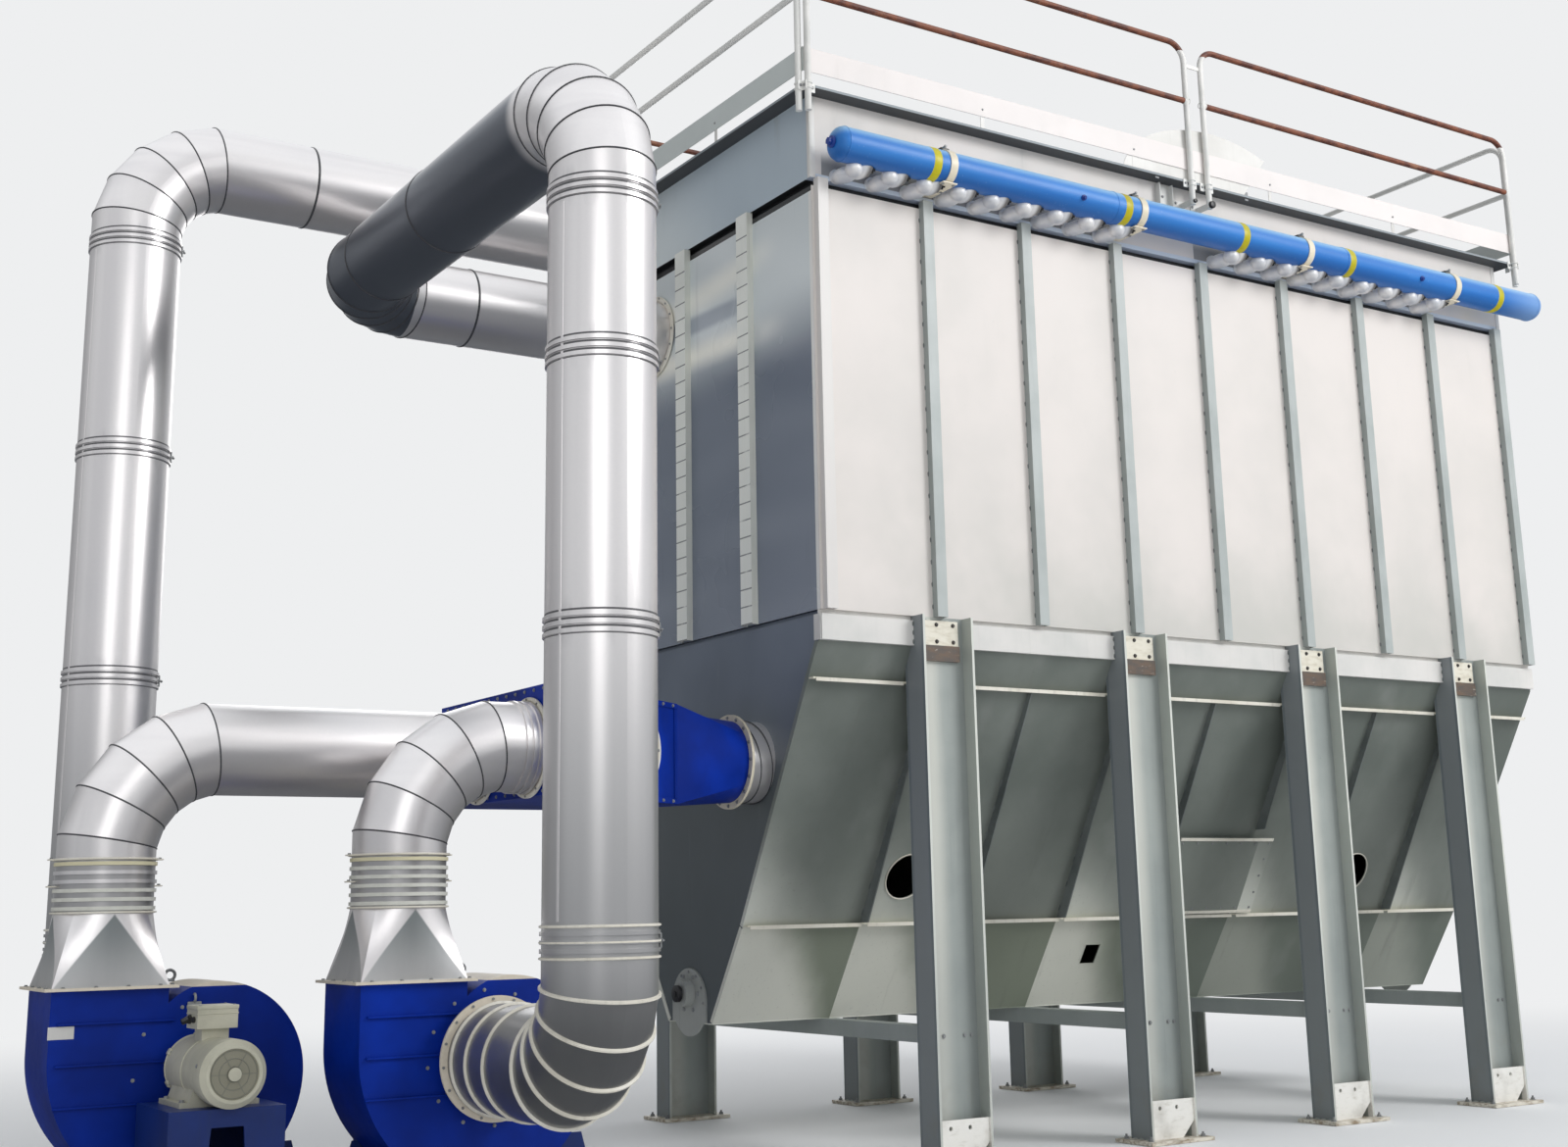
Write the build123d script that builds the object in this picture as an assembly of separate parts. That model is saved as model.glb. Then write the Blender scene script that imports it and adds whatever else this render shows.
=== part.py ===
"""Dust collection plant: bag filter casing on legs, V hopper, two fans and their ducts.

Millimetres, +Z up. The origin is the underside of the front left leg's base plate.
+X runs along the casing, away from the fans. +Y runs from the front to the back.
"""
from build123d import *
import math
import os

# Casing
bay = 740.0  # pitch of the wall stiffeners along the front
bays = 8
corner = 50.0  # from a corner to the first stiffener's axis
casing_depth = 2890.0
casing_bottom = 2900.0
casing_height = 2420.0
wall = 6.0
wall_flange = 50.0         # turned in at the top and bottom of the long walls
stiffener_w = 70.0
stiffener_d = 45.0
end_stiffener_w = 120.0
end_stiffener_d = 42.0
end_stiffener_pitch = 745.0
end_stiffeners = 3

# Clean air plenum on top
sheet_inset = 36.0  # shadow gap under the plenum
sheet_gap = 40.0
plenum_over = 15.0
plenum_height = 495.0
plenum_wall = 5.0
plenum_lip = 70.0
deck_t = 15.0
deck_over = 105.0

# Handrail and toe boards
rail_d = 38.0
rail_height = 940.0        # axis of the top rail above the deck
knee_height = 545.0
rail_bend = 125.0
post_drop = 170.0          # posts run down past the deck's edge
post_arm = 40.0
post_arm_t = 8.0
toe_height = 145.0
toe_gap = 75.0
toe_t = 5.0
rail_split = 2860.0  # last post of the first front length, from the casing's left end
rail_split_gap = 148.0
pair_bar = 25.0
pair_bar_z = 785.0         # bar between the two middle posts, above the deck

# Ring beam and legs
beam_height = 140.0
beam_flange = 65.0
beam_t = 8.0
packer_h = 25.0
packer_inset = 25.0
leg_h = 350.0  # across the two flanges, along X
leg_b = 175.0  # width of a flange, along Y
leg_web = 10.0
leg_flange = 15.0
leg_every = 2              # a leg stands under every second stiffener
base_plate = 480.0
base_plate_b = 300.0
base_plate_t = 20.0
anchor_d = 28.0
anchor_px = 400.0
anchor_py = 200.0
tie_height = 90.0
tie_width = 100.0
tie_top = 694.0
head_plate_w = 240.0
head_plate_h = 140.0
head_plate_t = 12.0
gusset_h = 210.0           # plate across the front of a leg's foot
gusset_t = 12.0
gusset_cut = 90.0
gusset_hole = 24.0
bar_w = 235.0              # flat bar under the head plate
bar_h = 88.0
bar_t = 26.0
beam_plate_w = 70.0        # upright plate on the ring beam's left end
beam_plate_t = 8.0

# Hopper
hopper_t = 6.0
hopper_top_y = 25.0  # front plate's top edge, behind the casing's front
lip_z = 2535.0
lip_w = 45.0
lip_t = 8.0
knee_z = 1230.0
knee_y = 850.0
hopper_foot_z = 700.0
hopper_foot_y = 1190.0
rib_depth = 80.0
rib_t = 8.0
hopper_end_t = 8.0
leg_slot_h = 300.0         # slots for the legs down from the hopper's top edge
port_d = 280.0  # round inspection openings in the front slope
port_z = 1495.0
port_offs = (235.0, 310.0)  # from the rib on each port's left
square_off = 380.0         # square opening, from the second leg's column on its left
square_port = 120.0
hatch_h = 540.0
hatch_w = 830.0
hatch_past = 130.0          # from the rib it interrupts to its right edge
hatch_rise = 45.0
hatch_plate_t = 8.0
hatch_side = 30.0           # from the hatch to the ribs on either side
screw_plate_w = 380.0
screw_plate_top = 1000.0
screw_plate_t = 12.0
screw_boss_d = 150.0
screw_boss_l = 70.0
screw_z = 860.0

# Fans
fan_axis_z = 715.0
fan_right_x = -2035.0  # axes, from the casing's left end
fan_right_y = -333.0  # front face of the housing
fan_left_x = -3180.0
fan_left_y = 247.0
housing_w = 450.0
volute_r = 600.0  # radius at the outlet side
volute_step = 100.0  # loss of radius at each quarter turn
outlet_w = 490.0
outlet_rise = 330.0  # outlet's face above the axis
outlet_flange = 35.0
outlet_flange_t = 12.0
housing_rib = 14.0
housing_rib_t = 8.0
inlet_l = 90.0
inlet_ring = 32.0
inlet_ring_t = 12.0
motor_d = 262.0
motor_l = 440.0
motor_gap = 70.0
motor_foot = 137.0
cowl_d = 274.0
cowl_l = 130.0
cowl_bevel = 22.0
motor_foot_w = 330.0
motor_foot_t = 20.0
motor_neck_w = 200.0
box_w = 170.0  # terminal box on top of the motor
box_l = 160.0
box_rise = 120.0
box_h = 82.0
shaft_d = 90.0
stand_t = 12.0
stand_rail = 90.0
stand_half_foot = 550.0    # side plates at the base rails
stand_half_top = 470.0     # side plates under the housing
stand_saddle = 350.0  # saddle's top below the axis
pedestal_w = 480.0
pedestal_cut = 200.0       # sloping opening in the pedestal's side plates

# Ducts
duct_d = 470.0
duct_back_d = 486.0
discharge_d = 420.0
duct_t = 4.0
bead_w = 16.0              # three raised beads at a duct joint
bead_t = 8.0
bead_pitch = 34.0
collar_rings = 6
gores = 5
top_bend = 500.0
side_bend = 420.0
foot_bend = 370.0
riser_right_y = -1400.0
riser_left_y = 2160.0
cross_drop = 415.0          # front riser's run to the back, below the casing's top
cross_y = 1850.0
back_run_rise = 247.0       # back riser's run, above the plenum's bottom
transition_h = 310.0
collar_h = 230.0
header_lift = 30.0         # header's axis above the discharges' level runs
front_joints = (0.04, 0.42, 0.77, 0.985)    # beaded joints up each riser's straight length
back_joints = (0.035, 0.375, 0.685, 0.985)
discharge_bend = 500.0

# Inlet header between the discharges and the hopper
header_x0 = -1752.0
header_x1 = -720.0
header_y0 = -407.0
header_y1 = 987.0
header_h = 520.0
header_throat_y0 = 308.0
header_t = 6.0
cover_d = 340.0
cover_t = 18.0
spiral_d = 450.0
spiral_y = 709.0
spiral_x = -153.0
header_flange = 35.0
header_flange_t = 16.0

# Compressed air manifold along the front
manifold_d = 200.0
manifold_y = -210.0
manifold_rise = 145.0       # manifold's axis above the plenum's bottom
manifold_past = 160.0
strap_w = 50.0
strap_t = 6.0
strap_columns = (1, 3, 5, 7)
valves_per_bay = 3
valve_bays = (0, 1, 2, 4, 5, 6)
valve_d = 100.0
valve_pipe = 55.0
valve_nut = 64.0
valve_nut_l = 16.0
valve_back = 35.0  # valve's centre behind the manifold's axis
pipe_rise = 30.0  # pipe's axis above the plenum's bottom edge
strap_foot = 55.0  # strap's flat arm past the manifold's axis

clear = 0.3

# Derived sizes
casing_length = bays * bay + 2 * corner
leg_columns = [i for i in range(1, bays) if i % leg_every == 1]
x_left = -(corner + leg_columns[0] * bay)
x_right = x_left + casing_length
casing_top = casing_bottom + casing_height
plenum_bottom = casing_top + sheet_gap
plenum_top = plenum_bottom + plenum_height
deck_top = plenum_top + deck_t
column_x = [x_left + corner + i * bay for i in range(bays + 1)]
leg_x = [column_x[i] for i in leg_columns]
beam_bottom = casing_bottom - packer_h - beam_height
mid_y = casing_depth / 2
cross_z = casing_top - cross_drop
back_run_z = plenum_bottom + back_run_rise
manifold_z = plenum_bottom + manifold_rise

os.makedirs("parts", exist_ok=True)


def block(x0, x1, y0, y1, z0, z1):
    """Box between two corners."""
    return Pos((x0 + x1) / 2, (y0 + y1) / 2, (z0 + z1) / 2) * Box(x1 - x0, y1 - y0, z1 - z0)


def profile_yz(points, x0, x1):
    """Closed outline in Y and Z, drawn along X."""
    face = make_face(Polyline(*[(0, y, z) for y, z in points], close=True))
    return Pos(x0, 0, 0) * extrude(face, amount=x1 - x0, dir=(1, 0, 0))


def mirror_y(shape):
    """The same piece on the back of the casing."""
    return mirror(shape, about=Plane.XZ.offset(-mid_y))


def bent_path(points, radii):
    """Corners of a duct's axis, with each turn cut into straight gores."""
    path = [Vector(*points[0])]
    for i in range(1, len(points) - 1):
        here = Vector(*points[i])
        back = (Vector(*points[i - 1]) - here).normalized()
        ahead = (Vector(*points[i + 1]) - here).normalized()
        radius = radii[i - 1]
        centre = here + back * radius + ahead * radius
        step = math.radians(90.0 / gores)
        reach = radius / math.cos(step / 2)
        for k in range(gores):
            a = step * (k + 0.5)
            path.append(centre - ahead * (reach * math.cos(a)) - back * (reach * math.sin(a)))
    path.append(Vector(*points[-1]))
    return path


def mitred_tube(path, radius):
    """Solid round bar along a path of straight lengths with mitred joints."""
    start = path[0]
    run = path[1] - path[0]
    wire = Polyline(*path)
    ring = Plane(origin=start, z_dir=run) * Circle(radius)
    return sweep(ring, path=wire, transition=Transition.RIGHT)


def beads(at, along, radius, count=3, pitch=bead_pitch):
    """Raised beads round a duct, about a point on its axis."""
    rings = []
    for k in range(count):
        off = (k - (count - 1) / 2) * pitch
        plane = Plane(origin=at + along * off, z_dir=along)
        rings.append(extrude(plane * Circle(radius + bead_t), amount=bead_w / 2, both=True))
    return rings


def duct(points, radii, diameter, bands):
    """Hollow duct with segmented bends and beaded joints."""
    outer = mitred_tube(bent_path(points, radii), diameter / 2)
    for at, along in bands:
        outer += beads(at, along, diameter / 2)
    inner = mitred_tube(bent_path(points, radii), diameter / 2 - duct_t)
    return outer - inner


# Casing walls
front_wall = block(x_left, x_right, 0, wall, casing_bottom, casing_top)
for z in (casing_bottom, casing_top - wall):
    front_wall += block(x_left + wall + clear, x_right - wall - clear, 0, wall_flange, z, z + wall)
back_wall = mirror_y(front_wall)
left_wall = block(x_left, x_left + wall, wall, casing_depth - wall, casing_bottom, casing_top)
right_wall = mirror(left_wall, about=Plane.YZ.offset((x_left + x_right) / 2))
run_in = Pos(x_left, cross_y, cross_z) * Rot(0, 90, 0) * Cylinder(duct_d / 2 - duct_t, 4 * wall)
left_wall -= run_in


def channel_bar(width, depth, thickness, length):
    """Upright channel, its web out at -Y and its two toes on Y = 0."""
    outer = Pos(0, -depth / 2) * Rectangle(width, depth)
    inner = Pos(0, (thickness - depth) / 2 + thickness / 2) * Rectangle(
        width - 2 * thickness, depth - thickness)
    return extrude(outer - inner, amount=length)


front_column = channel_bar(stiffener_w, stiffener_d, wall, plenum_bottom - casing_bottom)
front_columns = [Pos(x, 0, casing_bottom) * front_column for x in column_x]
columns = Compound(front_columns + [mirror_y(c) for c in front_columns])

end_bar = channel_bar(end_stiffener_w, end_stiffener_d, wall, plenum_bottom - casing_bottom)
end_y = [mid_y + (k - (end_stiffeners - 1) / 2) * end_stiffener_pitch
         for k in range(end_stiffeners)]
end_stiffener_set = Compound(
    [Pos(x_left, y, casing_bottom) * Rot(0, 0, -90) * end_bar for y in end_y]
    + [Pos(x_right, y, casing_bottom) * Rot(0, 0, 90) * end_bar for y in end_y])

# Tube sheet frame in the shadow gap, then the plenum
sheet_plate = block(x_left + sheet_inset, x_right - sheet_inset,
                    sheet_inset, casing_depth - sheet_inset, casing_top, plenum_bottom)
sheet_core = block(x_left + sheet_inset + wall, x_right - sheet_inset - wall,
                   sheet_inset + wall, casing_depth - sheet_inset - wall,
                   casing_top + wall, plenum_bottom)
tube_sheet = sheet_plate - sheet_core

plenum_x0 = x_left - plenum_over
plenum_x1 = x_right + plenum_over
plenum_y0 = -plenum_over
plenum_y1 = casing_depth + plenum_over
plenum_box = block(plenum_x0, plenum_x1, plenum_y0, plenum_y1, plenum_bottom, plenum_top)
plenum_void = block(plenum_x0 + plenum_wall, plenum_x1 - plenum_wall, plenum_y0 + plenum_wall,
                    plenum_y1 - plenum_wall, plenum_bottom + plenum_wall, plenum_top)
plenum_mouth = block(plenum_x0 + plenum_lip, plenum_x1 - plenum_lip, plenum_y0 + plenum_lip,
                     plenum_y1 - plenum_lip, plenum_bottom, plenum_top)
plenum = plenum_box - plenum_void - plenum_mouth
plenum -= (Pos(plenum_x0, riser_left_y, back_run_z) * Rot(0, 90, 0)
           * Cylinder(duct_back_d / 2 - duct_t, 4 * plenum_wall))

deck_x0 = plenum_x0 - deck_over
deck_x1 = plenum_x1 + deck_over
deck_y0 = plenum_y0 - deck_over
deck_y1 = plenum_y1 + deck_over
deck = block(deck_x0, deck_x1, deck_y0, deck_y1, plenum_top, deck_top)

# Toe boards, held by the posts above the deck's edge
toe_z0 = deck_top + toe_gap
toe_z1 = toe_z0 + toe_height
toe_boards = (block(deck_x0, deck_x1, deck_y0, deck_y1, toe_z0, toe_z1)
              - block(deck_x0 + toe_t, deck_x1 - toe_t, deck_y0 + toe_t, deck_y1 - toe_t,
                      toe_z0, toe_z1))

# Handrails, on the outside of the deck's edge
rail_out = rail_d / 2 + clear
post_z0 = deck_top - post_drop
knee_z_rail = deck_top + knee_height
top_z_rail = deck_top + rail_height


def rail_tube(points, bend=0.0):
    """Round tube along a path, with rounded corners."""
    if bend:
        wire = FilletPolyline(*points, radius=bend)
    else:
        wire = Polyline(*points)
    run = Vector(*points[1]) - Vector(*points[0])
    ring = Plane(origin=points[0], z_dir=run) * Circle(rail_d / 2)
    return sweep(ring, path=wire)


def rail_length(start, end):
    """One welded length: a top rail bent down into its two posts, and a knee rail."""
    x0, y0 = start
    x1, y1 = end
    frame = rail_tube([(x0, y0, post_z0), (x0, y0, top_z_rail), (x1, y1, top_z_rail),
                       (x1, y1, post_z0)], rail_bend)
    return frame + rail_tube([(x0, y0, knee_z_rail), (x1, y1, knee_z_rail)])


def post_bracket(x):
    """Flat arm on edge from a front post's foot back to the plenum."""
    return block(x - post_arm_t / 2, x + post_arm_t / 2, deck_y0 - rail_out, plenum_y0,
                 post_z0, post_z0 + post_arm)


rail_y = deck_y0 - rail_out
split_x = x_left + rail_split
next_x = split_x + rail_split_gap
rail_front_left = rail_length((deck_x0 + rail_d / 2, rail_y), (split_x, rail_y))
rail_front_left += post_bracket(split_x)
rail_front_left += block(split_x, next_x - rail_out, rail_y - post_arm_t / 2,
                         rail_y + post_arm_t / 2, deck_top + pair_bar_z,
                         deck_top + pair_bar_z + pair_bar)
rail_front_right = rail_length((next_x, rail_y), (deck_x1 - rail_d / 2, rail_y))
rail_front_right += post_bracket(next_x)
rail_back = Compound([mirror_y(rail_front_left), mirror_y(rail_front_right)])
rail_left = rail_length((deck_x0 - rail_out, deck_y0 + rail_d / 2),
                        (deck_x0 - rail_out, deck_y1 - rail_d / 2))
rail_right = rail_length((deck_x1 + rail_out, deck_y0 + rail_d / 2),
                         (deck_x1 + rail_out, deck_y1 - rail_d / 2))

# Ring beam, in lengths between the legs
beam_top = beam_bottom + beam_height
beam_profile = [
    (0, beam_bottom), (beam_flange, beam_bottom), (beam_flange, beam_bottom + beam_t),
    (beam_t, beam_bottom + beam_t), (beam_t, beam_top - beam_t),
    (beam_flange, beam_top - beam_t), (beam_flange, beam_top),
    (packer_inset + beam_t, beam_top), (packer_inset + beam_t, casing_bottom),
    (packer_inset, casing_bottom), (packer_inset, beam_top), (0, beam_top)]
stops = [x_left]
for x in leg_x:
    stops += [x - leg_h / 2 - clear, x + leg_h / 2 + clear]
stops.append(x_right)
beam_spans = [profile_yz(beam_profile, a, b) for a, b in zip(stops[0::2], stops[1::2])]
beam_spans[0] += block(x_left, x_left + beam_plate_w, -beam_plate_t, 0, beam_bottom, beam_top)
beam_sides = Compound(beam_spans + [mirror_y(s) for s in beam_spans])


def end_beam():
    """Left end's beam between the front and back beams."""
    points = [(x_left + y, 0, z) for y, z in beam_profile]
    face = make_face(Polyline(*points, close=True))
    length = casing_depth - 2 * (beam_flange + clear)
    return Pos(0, beam_flange + clear, 0) * extrude(face, amount=length, dir=(0, 1, 0))


left_beam = end_beam()
right_beam = mirror(left_beam, about=Plane.YZ.offset((x_left + x_right) / 2))
beam_ends = Compound([left_beam, right_beam])

# Legs: H sections with welded base plate, foot gusset and head plate
leg_top = casing_bottom


def h_section():
    """H section with its web across the front."""
    flange = Rectangle(leg_flange, leg_b)
    off = (leg_h - leg_flange) / 2
    return (Pos(-off, 0) * flange + Pos(off, 0) * flange
            + Rectangle(leg_h - leg_flange, leg_web))


def leg():
    """One leg at the origin of X and Y."""
    shaft = Pos(0, 0, base_plate_t) * extrude(h_section(), amount=leg_top - base_plate_t)
    plate = extrude(Rectangle(base_plate, base_plate_b), amount=base_plate_t)
    holes = GridLocations(anchor_px, anchor_py, 2, 2) * Circle(anchor_d / 2)
    plate -= extrude(Sketch() + holes, amount=base_plate_t)
    head = block(-head_plate_w / 2, head_plate_w / 2, -leg_web / 2 - head_plate_t,
                 -leg_web / 2, leg_top - head_plate_h - 20, leg_top - 20)
    bar_top = leg_top - head_plate_h - 20
    bar = block(-bar_w / 2, bar_w / 2, -leg_web / 2 - bar_t, -leg_web / 2, bar_top - bar_h, bar_top)
    inner = leg_h / 2 - leg_flange
    face_y = -leg_b / 2 + gusset_t
    gusset_face = make_face(Polyline(
        (-inner, base_plate_t), (inner - gusset_cut, base_plate_t),
        (inner, base_plate_t + gusset_cut), (inner, base_plate_t + gusset_h),
        (-inner, base_plate_t + gusset_h), close=True))
    front = Plane(origin=(0, face_y + gusset_t, 0), x_dir=(1, 0, 0), z_dir=(0, -1, 0))
    gusset = extrude(front * gusset_face, amount=gusset_t)
    for x in (-inner * 0.6, inner * 0.2):
        hole = front * Pos(x, base_plate_t + gusset_h * 0.8) * Circle(gusset_hole / 2)
        gusset -= extrude(hole, amount=gusset_t)
    return shaft + plate + head + bar + gusset


one_leg = leg()
front_legs = Compound([Pos(x, 0, 0) * one_leg for x in leg_x])
back_legs = Compound([mirror_y(Pos(x, 0, 0) * one_leg) for x in leg_x])

tie_y0 = leg_web / 2
tie = profile_yz([(tie_y0, tie_top - tie_height), (casing_depth - tie_y0, tie_top - tie_height),
                  (casing_depth - tie_y0, tie_top), (tie_y0, tie_top)],
                 -tie_width / 2, tie_width / 2)
tie_beams = Compound([Pos(x, 0, 0) * tie for x in leg_x])

# Hopper
upper_slope = (knee_y - hopper_top_y) / (beam_bottom - knee_z)
front_line = [(hopper_top_y, beam_bottom), (knee_y, knee_z), (hopper_foot_y, hopper_foot_z)]
shift = hopper_t / math.cos(math.atan(upper_slope))
front_skin = front_line + [(y + shift, z) for y, z in reversed(front_line)]
hopper_front = profile_yz(front_skin, x_left, x_right)
hopper_back = mirror_y(hopper_front)


def slope_y(z):
    """Y of the front plate's outer face at a height above the knee."""
    return hopper_top_y + upper_slope * (beam_bottom - z)


slope_angle = math.degrees(math.atan(upper_slope))


def slope_plane(x, z):
    """Plane on the upper slope, its normal outwards."""
    normal = Vector(0, -math.cos(math.radians(slope_angle)), -math.sin(math.radians(slope_angle)))
    return Plane(origin=(x, slope_y(z), z), x_dir=(1, 0, 0), z_dir=normal)


leg_slots = [Pos(x, 0, beam_bottom - leg_slot_h) * extrude(offset(h_section(), amount=clear),
                                                           amount=leg_slot_h + 10)
             for x in leg_x]
for slot in leg_slots:
    hopper_front -= slot
    hopper_back -= mirror_y(slot)

port_x = [column_x[1] + port_offs[0], column_x[6] + port_offs[1]]
for x in port_x:
    hopper_front -= extrude(slope_plane(x, port_z) * Circle(port_d / 2), amount=40, both=True)
square_x = leg_x[1] + square_off
low_slope = (hopper_foot_y - knee_y) / (knee_z - hopper_foot_z)
square_z = 1010.0
square_y = knee_y + low_slope * (knee_z - square_z)
hopper_front -= block(square_x - square_port / 2, square_x + square_port / 2,
                      square_y - 60, square_y + 60,
                      square_z - square_port / 2, square_z + square_port / 2)

inner_line = [(y + shift + clear, z) for y, z in front_line]
end_outline = inner_line + [(casing_depth - y, z) for y, z in reversed(inner_line)]
hopper_end_left = profile_yz(end_outline, x_left, x_left + hopper_end_t)
hopper_end_right = profile_yz(end_outline, x_right - hopper_end_t, x_right)

# Bottom plate that closes the trough
hopper_floor = block(x_left, x_right, hopper_foot_y, casing_depth - hopper_foot_y,
                     hopper_foot_z - hopper_t, hopper_foot_z)

# Lips and ribs stand on the slopes
rib_x = [x for x in column_x[1:-1]]


def lip(z, x0, x1):
    """Level flat bar that stands out from the slope."""
    low = slope_y(z)
    high = slope_y(z + lip_t)
    return profile_yz([(low, z), (high, z + lip_t), (low - lip_w, z + lip_t), (low - lip_w, z)],
                      x0, x1)


def slope_rib(x, low=knee_z + lip_t):
    """Bar on edge down the upper slope, from the upper lip."""
    top = lip_z
    points = [(slope_y(top), top), (slope_y(low), low),
              (slope_y(low) - rib_depth, low), (slope_y(top) - rib_depth / 2, top)]
    return profile_yz(points, x - rib_t / 2, x + rib_t / 2)


upper_lip = lip(lip_z, x_left, x_right)
lower_lip = lip(knee_z, x_left, x_right)
hatch_foot = knee_z + lip_t + hatch_side
hatch_drop = hatch_h * math.cos(math.radians(slope_angle))
hatch_column = leg_columns[2]
front_ribs = []
for i in range(1, bays):
    if i == hatch_column:
        front_ribs.append(slope_rib(column_x[i], hatch_foot + hatch_drop + hatch_side))
    else:
        front_ribs.append(slope_rib(column_x[i]))
back_ribs = [mirror_y(slope_rib(x)) for x in rib_x]
hopper_stiffeners = Compound([upper_lip, lower_lip, mirror_y(upper_lip), mirror_y(lower_lip)]
                             + front_ribs + back_ribs)

# Raised hatch that interrupts the rib at the third leg
hatch_plane = slope_plane(column_x[hatch_column] + hatch_past - hatch_w / 2,
                          hatch_foot + hatch_drop / 2)
hatch = extrude(hatch_plane * Rectangle(hatch_w - 2 * hatch_side, hatch_h - 2 * hatch_side),
                amount=hatch_rise)
hatch += extrude(hatch_plane.offset(hatch_rise) * Rectangle(hatch_w, hatch_h),
                 amount=hatch_plate_t)

# Screw conveyor end plates and bearings
screw_plate = (Pos(0, 0, 0) * Rectangle(screw_plate_w, screw_plate_top - hopper_foot_z
                                        - screw_plate_w / 2, align=(Align.CENTER, Align.MIN))
               + Pos(0, screw_plate_top - hopper_foot_z - screw_plate_w / 2)
               * Circle(screw_plate_w / 2))


def screw_end(x, out):
    """End plate with a bearing boss, facing out along X."""
    plane = Plane(origin=(x, mid_y, hopper_foot_z), x_dir=(0, out, 0), z_dir=(out, 0, 0))
    plate = extrude(plane * screw_plate, amount=screw_plate_t)
    boss = Plane(origin=(x, mid_y, screw_z), x_dir=(0, out, 0), z_dir=(out, 0, 0))
    return plate + extrude(boss * Circle(screw_boss_d / 2), amount=screw_boss_l)


screw_ends = Compound([screw_end(x_left, -1), screw_end(x_right, 1)])


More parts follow.
